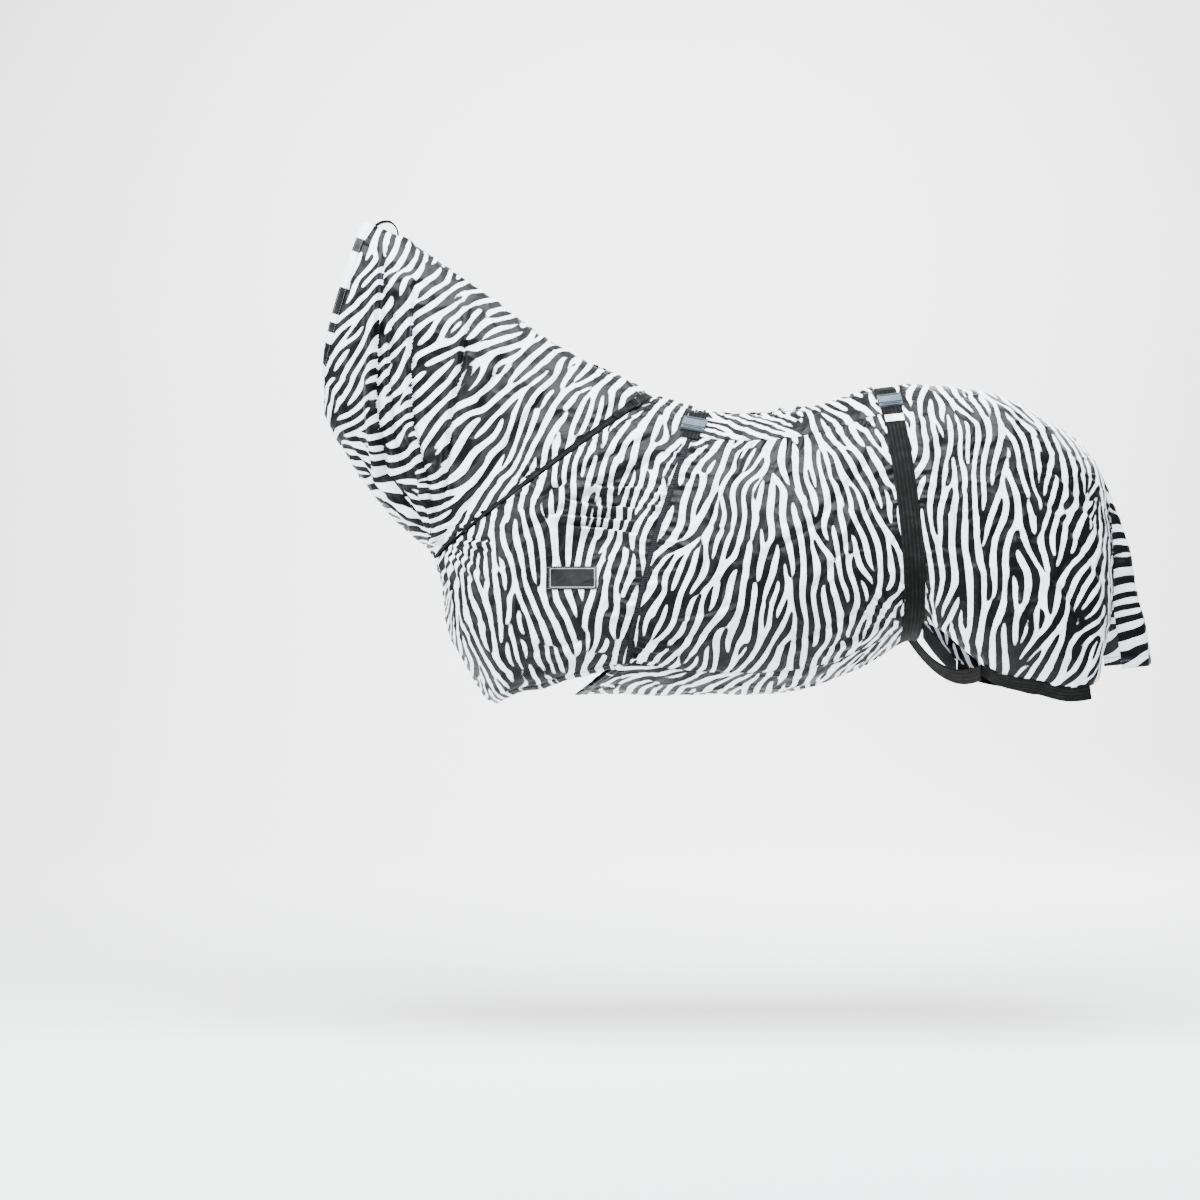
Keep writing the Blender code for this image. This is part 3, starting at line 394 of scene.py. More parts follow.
def gather(grid, edge, wavelength, height, reach, seed):
    """Small folds that start at a gathered seam: how far they rise, and what they hide along it."""
    distance, along = grid.edges[edge]
    along = along + 0.12 * distance * wander(distance + along, seed + 1, 0.15)
    phase = along * 2 * math.pi / wavelength + 2.2 * wander(along, seed, wavelength * 5)
    strength = 0.6 + 0.4 * wander(along, seed + 2, wavelength * 7)
    rise = np.clip(distance / 0.006, 0, 1)
    fade, slow_fade = np.exp(-distance / (reach * 0.55)), np.exp(-distance / reach)
    wider = np.sin(phase) * fade + np.sin(phase / 2 + 1) * slow_fade
    hidden = (
        0.06 * wavelength * strength
        * (np.cos(phase) * fade + np.cos(phase / 2 + 1) * slow_fade)
    )
    axis = 0 if edge in ("front", "rear") else 1
    return (
        height * rise * strength * wider,
        hidden[..., None] * unit(np.gradient(grid.p, axis=axis)),
    )


def ridge(p, line, width, height):
    """One fold along a line in the side view, with a crease beside it that hides some cloth."""
    line = np.asarray(line, float)
    lengths = np.linalg.norm(np.diff(line, axis=0), axis=-1)
    total, before = lengths.sum(), 0.0
    flat = p[..., (0, 2)]
    best = np.full(p.shape[:-1], 1e9)
    signed, place = np.zeros_like(best), np.zeros_like(best)
    side = np.zeros_like(flat)
    for start, end, length in zip(line, line[1:], lengths):
        way = (end - start) / length
        rel = flat - start
        t = np.clip(rel @ way, 0, length)
        d = np.linalg.norm(rel - t[..., None] * way, axis=-1)
        closer = d < best
        sign = np.sign(way[0] * rel[..., 1] - way[1] * rel[..., 0])
        best = np.where(closer, d, best)
        signed = np.where(closer, d * sign, signed)
        place = np.where(closer, (before + t) / total, place)
        side = np.where(closer[..., None], (-way[1], way[0]), side)
        before += length
    taper = smooth(np.clip(np.minimum(place, 1 - place) / 0.25, 0, 1))
    crease = signed - 1.25 * width
    shape = np.exp(-((signed / width) ** 2)) - 0.75 * np.exp(-((crease / (0.45 * width)) ** 2))
    lost = min(0.8, (width / 0.014) ** 2) * max(0.0, height - 0.35 * width)
    hidden = lost * taper * np.sign(crease) * np.exp(-np.abs(crease) / (2.2 * width))
    slip = np.stack([side[..., 0], 0 * best, side[..., 1]], -1) * hidden[..., None]
    return height * taper * shape, slip


def fan(centre, first, last, count, reach, width, height, seed):
    """Folds that spread from one point, at angles in degrees from +x towards +z."""
    rng = np.random.default_rng(seed)
    made = []
    for k in range(count):
        turn = math.radians(
            first + (last - first) * (k + rng.uniform(-0.3, 0.3)) / max(count - 1, 1)
        )
        bend = rng.uniform(-0.25, 0.25)
        length = reach * rng.uniform(0.6, 1.15)
        line = [
            (
                centre[0] + length * s * math.cos(turn + bend * s),
                centre[1] + length * s * math.sin(turn + bend * s),
            )
            for s in (-0.12, 0.25, 0.6, 1.0)
        ]
        made.append((line, width * rng.uniform(0.8, 1.3), height * rng.uniform(0.5, 1.1)))
    return made


FOLDS = {
    "neck_cover": [
        (
            [
                (-0.718, 0.440), (-0.740, 0.170), (-0.745, -0.038),
                (-0.718, -0.221), (-0.594, -0.389),
            ],
            0.014, 0.019,
        ),
        (
            [
                (-0.640, 0.330), (-0.650, 0.100), (-0.645, -0.080),
                (-0.610, -0.219), (-0.580, -0.370),
            ],
            0.012, 0.014,
        ),
        ([(-0.690, 0.300), (-0.705, 0.050), (-0.690, -0.120), (-0.640, -0.270)], 0.009, 0.010),
        ([(-0.486, 0.259), (-0.540, -0.065), (-0.562, -0.335)], 0.012, 0.010),
        ([(-0.243, 0.084), (-0.405, -0.146), (-0.540, -0.348)], 0.016, 0.005),
        ([(-0.823, -0.119), (-0.742, -0.254), (-0.621, -0.362)], 0.012, 0.007),
        ([(-0.850, 0.050), (-0.800, -0.120), (-0.700, -0.270)], 0.012, 0.005),
        ([(-0.380, 0.170), (-0.460, 0.000), (-0.520, -0.200)], 0.020, 0.004),
        *fan((-0.560, -0.392), 60, 135, 9, 0.20, 0.007, 0.0075, 3),
    ],
    "shoulder_panel": [
        ([(-0.243, -0.294), (-0.120, -0.316), (-0.020, -0.321)], 0.009, 0.011),
        ([(-0.230, -0.362), (-0.130, -0.372), (-0.020, -0.390)], 0.008, 0.010),
        ([(-0.190, -0.255), (-0.100, -0.262), (-0.015, -0.268)], 0.008, 0.008),
        ([(-0.300, -0.335), (-0.180, -0.340), (-0.020, -0.356)], 0.008, 0.010),
        ([(-0.360, -0.713), (-0.240, -0.690), (-0.120, -0.655)], 0.014, 0.006),
        ([(-0.410, -0.760), (-0.300, -0.745), (-0.190, -0.712)], 0.011, 0.004),
        ([(0.081, -0.120), (-0.135, -0.227), (-0.405, -0.389)], 0.020, 0.006),
        ([(0.020, -0.090), (-0.160, -0.180), (-0.330, -0.290)], 0.014, 0.004),
        ([(-0.520, -0.560), (-0.440, -0.640), (-0.380, -0.740)], 0.016, 0.004),
        *fan((-0.560, -0.392), -85, -5, 10, 0.22, 0.008, 0.0050, 5),
    ],
    "flank_panel": [
        ([(0.594, -0.119), (0.405, -0.335), (0.243, -0.443)], 0.020, 0.005),
        ([(0.600, -0.200), (0.480, -0.400), (0.360, -0.560)], 0.018, 0.004),
        ([(-0.027, -0.680), (0.080, -0.665), (0.190, -0.640)], 0.011, 0.005),
        ([(0.020, -0.620), (0.140, -0.600), (0.260, -0.560)], 0.012, 0.004),
        ([(0.300, -0.700), (0.420, -0.660), (0.560, -0.580)], 0.014, 0.005),
        ([(0.420, -0.705), (0.540, -0.655), (0.640, -0.590)], 0.010, 0.004),
        ([(0.160, -0.200), (0.130, -0.400), (0.100, -0.560)], 0.016, 0.003),
        *fan((0.640, -0.600), 120, 185, 5, 0.14, 0.007, 0.003, 8),
    ],
    "rump_panel": [
        ([(0.945, -0.227), (1.080, -0.389), (1.175, -0.551)], 0.020, 0.006),
        ([(0.891, -0.335), (1.053, -0.551), (1.140, -0.670)], 0.018, 0.005),
        ([(1.000, -0.180), (1.110, -0.300), (1.190, -0.430)], 0.016, 0.004),
        ([(0.780, -0.400), (0.900, -0.560), (0.960, -0.680)], 0.020, 0.004),
        ([(0.700, -0.120), (0.760, -0.300), (0.780, -0.450)], 0.020, 0.003),
        *fan((0.742, -0.645), 35, 120, 6, 0.13, 0.007, 0.0035, 11),
    ],
}
GATHERS = {
    "neck_cover": [("front", 0.016, 0.0015, 0.030), ("rear", 0.024, 0.0022, 0.050)],
    "shoulder_panel": [
        ("front", 0.022, 0.0022, 0.050),
        ("rear", 0.022, 0.0042, 0.070),
        ("foot", 0.024, 0.0012, 0.030),
    ],
    "saddle_panel": [
        ("foot", 0.022, 0.0020, 0.030),
        ("front", 0.020, 0.0018, 0.030),
        ("rear", 0.016, 0.0014, 0.030),
        ("top", 0.045, 0.0040, 0.035),
    ],
    "flank_panel": [
        ("top", 0.024, 0.0034, 0.075),
        ("front", 0.020, 0.0036, 0.055),
        ("rear", 0.022, 0.0020, 0.045),
        ("foot", 0.024, 0.0014, 0.030),
    ],
    "rump_panel": [
        ("front", 0.022, 0.0022, 0.045),
        ("foot", 0.024, 0.0016, 0.035),
        ("rear", 0.020, 0.0012, 0.025),
    ],
    "belly_panel": [("front", 0.020, 0.0015, 0.030), ("rear", 0.020, 0.0015, 0.030)],
    "tail_flap": [("top", 0.018, 0.0012, 0.040)],
}
SEAMED = {
    "neck_cover": ("front", "rear"),
    "shoulder_panel": ("front", "rear", "foot"),
    "saddle_panel": ("front", "rear", "foot"),
    "flank_panel": ("front", "rear", "top", "foot"),
    "rump_panel": ("front", "foot"),
    "belly_panel": ("front", "rear", "top", "foot"),
    "tail_flap": ("top",),
}
SEWN = {  # the edges where the thread shows, away from the webbing
    "neck_cover": (),
    "shoulder_panel": ("rear",),
    "saddle_panel": ("front", "foot"),
    "flank_panel": ("front", "top", "foot"),
    "rump_panel": (),
}


def drape(name, grid, seed, depth):
    """How far each point of the cloth stands off the form, and how far the print slips there."""
    out = depth * (
        0.0024 * undulation(grid.p, seed, 0.16)
        + 0.0013 * undulation(grid.p, seed + 1, 0.05)
        + 0.0018 * creases(grid.p, seed + 2, 0.11)
    )
    slip = np.zeros_like(grid.p)
    for line, width, height in FOLDS.get(name, ()):
        rise, hidden = ridge(grid.p, line, width, height)
        out, slip = out + depth * rise, slip + hidden
    calm = 1.0
    for edge in SEAMED[name]:
        distance = grid.edges[edge][0]
        calm = calm * (1 - np.exp(-((distance / 0.016) ** 2)))
    out = (out + 0.002) * calm
    for k, (edge, wavelength, height, reach) in enumerate(GATHERS[name]):
        rise, hidden = gather(grid, edge, wavelength, height, reach, seed * 7 + k)
        out, slip = out + depth * rise, slip + hidden
    middle = np.abs(grid.p[..., 1])
    if name != "tail_flap":
        out = out * np.where(middle < 0.012, 0.4 + 50 * middle, 1.0)
    calm, dip = under_hardware(grid.p)
    return np.maximum(out, -0.004) * calm - dip + 0.0006, slip


# ---------------------------------------------------------------- the print: forked stripes

# The stripes' lean in the side view: x, z, and degrees from upright towards the rear at the top
LEANS = {
    "neck_cover": [
        (-0.75, 0.40, 15), (-0.65, 0.35, 30), (-0.50, 0.25, 40), (-0.40, 0.15, 60),
        (-0.50, 0.15, 55), (-0.60, 0.15, 35), (-0.70, 0.20, 35), (-0.80, 0.15, 35),
        (-0.85, 0.05, 60), (-0.80, 0.00, 35), (-0.70, -0.05, 30), (-0.50, 0.00, 45),
        (-0.35, 0.10, 50), (-0.30, 0.00, 40), (-0.15, 0.00, 25), (-0.30, -0.10, 10),
        (-0.50, -0.15, 40), (-0.75, -0.15, 105), (-0.70, -0.25, 105),
    ],
    "shoulder_panel": [
        (0.00, -0.05, 25), (-0.05, -0.20, 20), (-0.10, -0.25, 10), (-0.25, -0.25, 0),
        (-0.30, -0.35, -10), (-0.40, -0.40, -5), (-0.50, -0.40, 20), (-0.10, -0.40, 20),
        (-0.05, -0.50, 15), (-0.35, -0.50, -5), (-0.40, -0.50, -20), (-0.55, -0.55, -30),
        (-0.15, -0.60, 5), (-0.25, -0.60, -25), (-0.40, -0.65, 5), (-0.45, -0.65, -20),
        (-0.10, -0.65, 15), (-0.35, -0.70, -20),
    ],
    "saddle_panel": [
        (0.20, -0.10, -50), (0.30, -0.10, -45), (0.45, -0.05, -25), (0.55, -0.05, -35),
    ],
    "flank_panel": [
        (0.10, -0.15, 45), (0.25, -0.20, 25), (0.05, -0.25, 5), (0.40, -0.25, -20),
        (0.55, -0.25, -30), (0.10, -0.35, 20), (0.20, -0.35, 10), (0.35, -0.35, -5),
        (0.45, -0.35, -10), (0.55, -0.40, -15), (0.05, -0.45, 35), (0.10, -0.55, 20),
        (0.45, -0.55, -10), (0.30, -0.60, 15), (0.60, -0.60, 10), (0.05, -0.65, 25),
    ],
    "rump_panel": [
        (0.75, -0.05, 0), (0.90, -0.05, -15), (1.00, -0.05, -30), (1.10, -0.15, -30),
        (1.10, -0.20, 10), (1.15, -0.25, 35), (0.80, -0.20, 10), (0.90, -0.20, 10),
        (0.80, -0.35, 15), (0.95, -0.35, 0), (1.10, -0.35, 40), (0.75, -0.45, -15),
        (0.85, -0.45, 0), (1.00, -0.45, -15), (1.15, -0.45, 50), (0.85, -0.55, 20),
        (0.95, -0.60, 5), (1.05, -0.65, 30), (1.15, -0.60, 40),
    ],
    "belly_panel": [
        (0.00, -0.75, 80), (0.15, -0.75, 60), (0.35, -0.75, 0), (0.55, -0.70, 40),
    ],
    "tail_flap": [
        (1.20, -0.20, -40), (1.25, -0.40, 90), (1.25, -0.55, 85), (1.30, -0.65, 65),
    ],
}


def lean_at(name, p):
    """The lean at each point, blended from the nearest given ones."""
    total = 0
    for x, z, degrees in LEANS[name]:
        near = 1 / ((p[..., 0] - x) ** 2 + (p[..., 2] - z) ** 2 + 0.0015) ** 1.5
        turn = 2 * math.radians(degrees)
        total = total + near * np.exp(1j * turn)
    return np.angle(total) / 2


def reading(shape, i, j):
    """Which four points of a lattice to read, and their shares, for fractional rows and columns."""
    rows, columns = shape
    i, j = np.clip(i, 0, rows - 1.001), np.clip(j, 0, columns - 1.001)
    i0, j0 = i.astype(int), j.astype(int)
    fi, fj = i - i0, j - j0
    base = i0 * columns + j0
    return base, columns, (1 - fi) * (1 - fj), fi * (1 - fj), (1 - fi) * fj, fi * fj


def read(field, place):
    base, columns, here, below, beside_it, across = place
    flat = field.ravel()
    return (
        here * flat[base]
        + below * flat[base + columns]
        + beside_it * flat[base + 1]
        + across * flat[base + columns + 1]
    )


def stripes(lattice, lean, seed, period, rounds=11):
    """A wavy striped field, low where the print is black: noise drawn out along its lean."""
    ea, et = np.gradient(lattice.p, axis=1), np.gradient(lattice.p, axis=0)
    n = lattice.n
    wanted = np.stack([np.sin(lean), 0 * lean, np.cos(lean)], -1)
    wanted = unit(wanted - n * dot(wanted, n)[..., None])
    facing = np.clip((np.abs(n[..., 1]) - 0.15) / 0.45, 0, 1)[..., None]
    up = -unit(et) * np.sign(dot(-unit(et), wanted))[..., None]
    way = unit(wanted * facing + up * (1 - facing))
    across = np.cross(way, n)
    i, j = np.meshgrid(*(np.arange(k, dtype=float) for k in lean.shape), indexing="ij")

    def places(direction, distances):
        dj, di = steps_along(direction, ea, et, 1e-14)
        return [reading(lean.shape, i + di * d, j + dj * d) for d in distances]

    vary = 1 + 0.26 * undulation(lattice.p, seed + 5, 0.13)
    gap = period / 1.24 * vary  # the noise settles a little wider than it is asked to
    run = places(way, (-0.016, -0.008, 0.008, 0.016))
    soft = places(across, (-gap / 6, gap / 6))
    opposite = places(across, (-gap / 2, gap / 2))

    def drawn_out(f):
        ahead, behind = 2 * read(f, run[1]), 2 * read(f, run[2])
        return (read(f, run[0]) + ahead + 2 * f + behind + read(f, run[3])) / 8

    f = np.random.default_rng(seed).standard_normal(lean.shape)
    for k in range(rounds):
        f = drawn_out(f)
        f = (read(f, soft[0]) + 2 * f + read(f, soft[1])) / 4
        f = f - 0.5 * (read(f, opposite[0]) + read(f, opposite[1]))
        f = f / f.std()
        if k < rounds - 2:
            f = np.tanh(1.1 * f)
    for _ in range(4):  # draws the ends out to points
        f = drawn_out(f)
    f = f / f.std()
    return (
        f
        + 0.17 * undulation(lattice.p, seed + 8, 0.09)
        + 0.10 * undulation(lattice.p, seed + 9, 0.03)
    )


def printed(name, grid, slip, seed, period):
    """The print's value at each point of a panel, cut from striped cloth laid over the form."""
    margin = 0.5
    first, last = grid.a.min() - margin, grid.a.max() + margin
    low, high = grid.angle.min() - 0.12, grid.angle.max() + 0.12
    rough = form_point(np.linspace(first, last, 40)[None, :], np.linspace(low, high, 40)[:, None])
    wide = np.linalg.norm(np.diff(rough, axis=1), axis=-1).sum(1).max()
    tall = np.linalg.norm(np.diff(rough, axis=0), axis=-1).sum(0).max()
    rows, columns = int(spaced(tall, STEP)) + 1, int(spaced(wide, STEP)) + 1
    a, angle = np.meshgrid(np.linspace(first, last, columns), np.linspace(low, high, rows))
    lattice = Grid(form_point(a, angle), form_normal(a, angle))
    lean = lean_at(name, lattice.p) + math.radians(20) * undulation(lattice.p, seed + 3, 0.085)
    lean = lean + math.radians(9) * undulation(lattice.p, seed + 4, 0.04)
    field = stripes(lattice, lean, seed, period)
    along, down = form_slopes(grid.a, grid.angle)
    slipped, turned = steps_along(slip * grid.facing, along, down, 1e-12)
    a, angle = grid.a + slipped, grid.angle + turned
    i = (angle - low) / (high - low) * (rows - 1)
    j = (a - first) / (last - first) * (columns - 1)
    return read(field, reading((rows, columns), i, j))


# ---------------------------------------------------------------- meshes


def linked(name, data):
    """A new object in the scene."""
    made = bpy.data.objects.new(name, data)
    bpy.context.scene.collection.objects.link(made)
    return made


def shell_object(name, outer, inner, finish, fields=None, uv=None, wrap=False):
    """A closed sheet between two grids of points, its faces outwards."""
    rows, columns = outer.shape[:2]
    index = np.arange(rows * columns).reshape(rows, columns)
    low = np.concatenate([index, index[:1]]) if wrap else index
    quads = np.stack([low[:-1, :-1], low[:-1, 1:], low[1:, 1:], low[1:, :-1]], -1).reshape(-1, 4)
    count = rows * columns
    i, j = rows // 3, columns // 3
    edge_a, edge_b = (
        outer[i, j + 1 if columns > 1 else j] - outer[i, j],
        outer[i + 1, j] - outer[i, j],
    )
    faces_out = np.dot(np.cross(edge_a, edge_b), outer[i, j] - inner[i, j]) > 0
    rims = [(low[:, 0], 1), (low[:, -1], -1)]
    if not wrap:
        rims += [(index[0], -1), (index[-1], 1)]
    walls = []
    for line, way in rims:
        a, b = line[:-1], line[1:]
        wall = np.stack([a, b, b + count, a + count], -1)
        walls.append(wall if way > 0 else wall[:, ::-1])
    faces = np.concatenate([quads, quads[:, ::-1] + count, *walls])
    if not faces_out:
        faces = faces[:, ::-1]
    mesh = bpy.data.meshes.new(name)
    points = np.concatenate([outer.reshape(-1, 3), inner.reshape(-1, 3)])
    mesh.vertices.add(len(points))
    mesh.vertices.foreach_set("co", points.ravel())
    mesh.loops.add(faces.size)
    mesh.loops.foreach_set("vertex_index", faces.ravel().astype(np.int32))
    mesh.polygons.add(len(faces))
    mesh.polygons.foreach_set("loop_start", np.arange(0, faces.size, 4, dtype=np.int32))
    mesh.polygons.foreach_set("use_smooth", np.ones(len(faces), bool))
    mesh.update(calc_edges=True)
    mesh.validate()
    for key, values in (fields or {}).items():
        layer = mesh.attributes.new(key, "FLOAT", "POINT")
        layer.data.foreach_set("value", np.tile(values.ravel(), 2).astype(np.float32))
    if uv is not None:
        layer = mesh.uv_layers.new(name="UVMap")
        flat = np.tile(np.stack([uv[0].ravel(), uv[1].ravel()], -1), (2, 1))
        corner = np.empty(len(mesh.loops), np.int32)
        mesh.loops.foreach_get("vertex_index", corner)
        layer.data.foreach_set("uv", flat[corner].ravel().astype(np.float32))
    mesh.materials.append(finish)
    return linked(name, mesh)


def cloth_object(name, grid, out, finish, stripe, thickness=CLOTH_THICKNESS):
    grid.outer, grid.stripe = grid.p + grid.n * out[..., None], stripe
    inner = grid.outer - grid.n * thickness
    return shell_object(
        name, grid.outer, inner, finish, {"stripe": stripe}, (grid.u, grid.v)
    )


def strip_on(line, normals, away, width, count, profile, thickness):
    """Outer and inner grids of a strip that runs from a line, away from it across the cloth."""
    shares = np.linspace(0, 1, count + 1)
    outer = (
        line[:, None]
        + away[:, None] * (width * shares)[None, :, None]
        + normals[:, None] * profile(shares)[None, :, None]
    )
    return outer, outer - normals[:, None] * thickness


def ribbon_grid(points, across, thickness, count=6):
    """Outer and inner grids of a flat strap along points; across holds its width vectors."""
    points, across = np.asarray(points, float), np.asarray(across, float)
    run = np.gradient(points, axis=0)
    off = unit(np.cross(run, across))
    s = np.linspace(-0.5, 0.5, count + 1)
    centre = points[:, None] + across[:, None] * s[None, :, None]
    lift = off[:, None] * (thickness / 2)
    return centre + lift, centre - lift


def grid_uv(outer):
    g = Grid(outer, outer)
    return g.v, g.u


def strap_object(name, outer, inner, finish, wrap=False, fields=None):
    return shell_object(name, outer, inner, finish, fields, grid_uv(outer), wrap)


def tidy_copy(node, name, finish, bevel, segments=2):
    """A merged copy of a CAD node, with its edges rounded."""
    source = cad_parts[node]
    bm = bmesh.new()
    bm.from_mesh(source.data)
    bmesh.ops.remove_doubles(bm, verts=bm.verts, dist=1e-5)
    bmesh.ops.dissolve_limit(bm, angle_limit=0.01, verts=bm.verts, edges=bm.edges)
    bmesh.ops.bevel(
        bm,
        geom=[e for e in bm.edges if e.is_manifold and e.calc_face_angle() > 0.3],
        offset=bevel,
        segments=segments,
        affect="EDGES",
        clamp_overlap=True,
    )
    bmesh.ops.recalc_face_normals(bm, faces=bm.faces)
    mesh = bpy.data.meshes.new(name)
    bm.to_mesh(mesh)
    bm.free()
    mesh.materials.append(finish)
    return linked(name, mesh)


def place(piece, body, slot, *nodes):
    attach(piece, body)
    if nodes:
        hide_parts(*nodes)
    return piece


# ---------------------------------------------------------------- finishes


class Wire:
    """One socket of a material, so that shader maths reads as Python."""

    def __init__(self, finish, socket):
        self.finish, self.socket = finish, socket

    def maths(self, operation, first, second):
        return self.finish.node("ShaderNodeMath", {"operation": operation}, {0: first, 1: second})

    def __add__(self, other):
        return self.maths("ADD", self, other)

    def __sub__(self, other):
        return self.maths("SUBTRACT", self, other)

    def __mul__(self, other):
        return self.maths("MULTIPLY", self, other)

    def __truediv__(self, other):
        return self.maths("DIVIDE", self, other)

    def __pow__(self, other):
        return self.maths("POWER", self, other)

    def __radd__(self, other):
        return self.maths("ADD", other, self)

    def __rsub__(self, other):
        return self.maths("SUBTRACT", other, self)

    def __rmul__(self, other):
        return self.maths("MULTIPLY", other, self)

    def __rtruediv__(self, other):
        return self.maths("DIVIDE", other, self)


class Finish:
    """A material with a Principled shader and the nodes that feed it."""

    def __init__(self, name, **constants):
        self.material = bpy.data.materials.new(name)
        self.material.use_nodes = True
        self.tree = self.material.node_tree
        self.shader = self.tree.nodes["Principled BSDF"]
        for key, value in constants.items():
            self.shader.inputs[key.replace("_", " ")].default_value = value

    def node(self, kind, settings=None, values=None, output=0):
        made = self.tree.nodes.new(kind)
        for key, value in (settings or {}).items():
            setattr(made, key, value)
        for key, value in (values or {}).items():
            self.join(value, made.inputs[key])
        return Wire(self, made.outputs[output])

    def join(self, value, socket):
        if isinstance(value, Wire):
            self.tree.links.new(value.socket, socket)
        else:
            socket.default_value = value

    def feed(self, **values):
        for key, value in values.items():
            self.join(value, self.shader.inputs[key.replace("_", " ")])

    def object_place(self):
        return self.node("ShaderNodeTexCoord", output="Object")

    def noise(self, scale, detail=3.0, roughness=0.5, where=None):
        values = {
            "Vector": where or self.object_place(),
            "Scale": scale,
            "Detail": detail,
            "Roughness": roughness,
        }
        return self.node("ShaderNodeTexNoise", None, values, "Fac")

    def clamp(self, value, low, high, out_low=0.0, out_high=1.0):
        values = {
            "Value": value,
            "From Min": low,
            "From Max": high,
            "To Min": out_low,
            "To Max": out_high,
        }
        return self.node("ShaderNodeMapRange", {"interpolation_type": "SMOOTHSTEP"}, values)

    def mix(self, share, first, second):
        values = {"Factor": share, 6: first, 7: second}
        return self.node("ShaderNodeMix", {"data_type": "RGBA"}, values, 2)

    def bump(self, height, distance, strength=1.0):
        values = {"Height": height, "Distance": distance, "Strength": strength}
        return self.node("ShaderNodeBump", None, values)

    def waves(self, value, period):
        """A sine along a distance, one wave to each period."""
        turns = value * (2 * math.pi / period)
        return self.node("ShaderNodeMath", {"operation": "SINE"}, {0: turns})

    def lengthwise(self):
        """The piece's own length and width, in metres."""
        uv = self.node("ShaderNodeUVMap", {"uv_map": "UVMap"})
        split = self.node("ShaderNodeSeparateXYZ", None, {"Vector": uv})
        return split, Wire(self, split.socket.node.outputs["Y"])


def rgba(colour):
    return (*tuple(colour)[:3], 1.0)


def cloth_finish(name, settings):
    """Printed polyester: black and white stripes with a soft gloss and a fine weave."""
    made = Finish(name, Specular_IOR_Level=0.13)
    field = made.node("ShaderNodeAttribute", {"attribute_name": "stripe"}, None, "Fac")
    ragged = made.noise(150.0, 2.0)
    mask = made.clamp(field + (ragged - 0.5) * 0.22, 0.04, 0.24)
    blotch = made.noise(9.0, 4.0)
    shade = made.clamp(blotch, 0.3, 0.7, 0.0, 1.0)
    white, black = rgba(settings.white), rgba(settings.black)
    dull_white = rgba([c * 0.93 for c in settings.white])
    dull_black = rgba([c * 1.5 for c in settings.black])
    print_white = made.mix(shade, white, dull_white)
    print_black = made.mix(shade, black, dull_black)
    along, across = made.lengthwise()
    weave = made.waves(along, 0.0021)
    weft = made.waves(across, 0.0021)
    crinkle = made.noise(60.0, 5.0, 0.6)
    height = weave * weft * 0.12 + crinkle * 1.6 + mask * 0.05
    made.feed(
        Base_Color=made.mix(mask, print_black, print_white),
        Roughness=settings.roughness + (1 - mask) * -0.05 + (blotch - 0.5) * 0.12,
        Normal=made.bump(height, 0.0012, 0.55),
    )
    return made.material


def webbing_finish(name, colour):
    """Woven webbing: fine ribs across it and a raised selvedge."""
    made = Finish(name, Specular_IOR_Level=0.06)
    along, across = made.lengthwise()
    ribs = made.waves(along, 0.0024)
    lines = made.waves(across, 0.0104)
    dust = made.noise(35.0, 5.0, 0.6)
    fuzz = made.noise(700.0, 2.0)
    dark, worn = rgba(colour), rgba([c * 3.0 + 0.007 for c in colour])
    share = made.clamp(dust + ribs * 0.10 + lines * 0.14, 0.40, 0.85)
    made.feed(
        Base_Color=made.mix(share, dark, worn),
        Roughness=0.62 + dust * 0.2,
        Normal=made.bump(ribs * 0.5 + lines * 0.35 + fuzz * 0.4, 0.0006, 0.8),
    )
    return made.material


def elastic_finish(name, colour):
    """Ruched elastic: gathered ribs, with painted shade darkening the hollows between them."""
    made = Finish(name, Specular_IOR_Level=0.10)
    along, _ = made.lengthwise()
    ribs = made.waves(along, 0.0055)
    spread = made.noise(90.0, 3.0)
    # Painted shade: the colour falls to a quarter where the ribs and the noise that shape the bump
    # are low, in the hollows of the gathers.
    share = made.clamp(ribs * 0.5 + spread * 1.2, 0.1, 1.2)
    made.feed(
        Base_Color=made.mix(share, rgba([c * 0.25 for c in colour]), rgba(colour)),
        Roughness=0.7 + spread * 0.1,
        Normal=made.bump(ribs * 0.6 + spread * 0.3, 0.0010, 0.8),
    )
    return made.material


def plastic_finish(name, colour, gloss=0.22, roughness=0.42):
    """Moulded acetal with a fine spark-eroded grain and rubbed spots."""
    made = Finish(name, Specular_IOR_Level=gloss)
    grain, rubbed = made.noise(900.0, 2.0), made.noise(40.0, 4.0, 0.6)
    share = made.clamp(rubbed, 0.45, 0.7)
    made.feed(
        Base_Color=made.mix(share, rgba(colour), rgba([min(1.0, c * 1.18 + 0.01) for c in colour])),
        Roughness=roughness + rubbed * 0.18,
        Normal=made.bump(grain, 0.0002, 0.35),
    )
    return made.material


def label_finish(name):
    """A woven label: black satin with a light border."""
    made = Finish(name, Specular_IOR_Level=0.12)
    _, across = made.lengthwise()
    rim = made.node("ShaderNodeAttribute", {"attribute_name": "rim"}, None, "Fac")
    threads = made.waves(across, 0.0012)
    border = made.clamp(rim, 0.0048, 0.0054) * (1 - made.clamp(rim, 0.0064, 0.0070))
    worn = made.noise(120.0, 3.0)
    colour = made.mix(border * 0.7, rgba((0.004, 0.004, 0.005)), rgba((0.40, 0.41, 0.43)))
    made.feed(
        Base_Color=colour,
        Roughness=0.45 + worn * 0.2,
        Normal=made.bump(threads * 0.4 + border * 0.8 + worn * 0.3, 0.0004, 0.7),
    )
    return made.material


def thread_finish(name, colour):
    made = Finish(name, Specular_IOR_Level=0.08)
    twist = made.noise(1500.0, 1.0)
    made.feed(
        Base_Color=made.mix(twist, rgba([c * 0.7 for c in colour]), rgba(colour)),
        Roughness=0.55 + twist * 0.2,
        Normal=made.bump(twist, 0.0002, 0.5),
    )
    return made.material


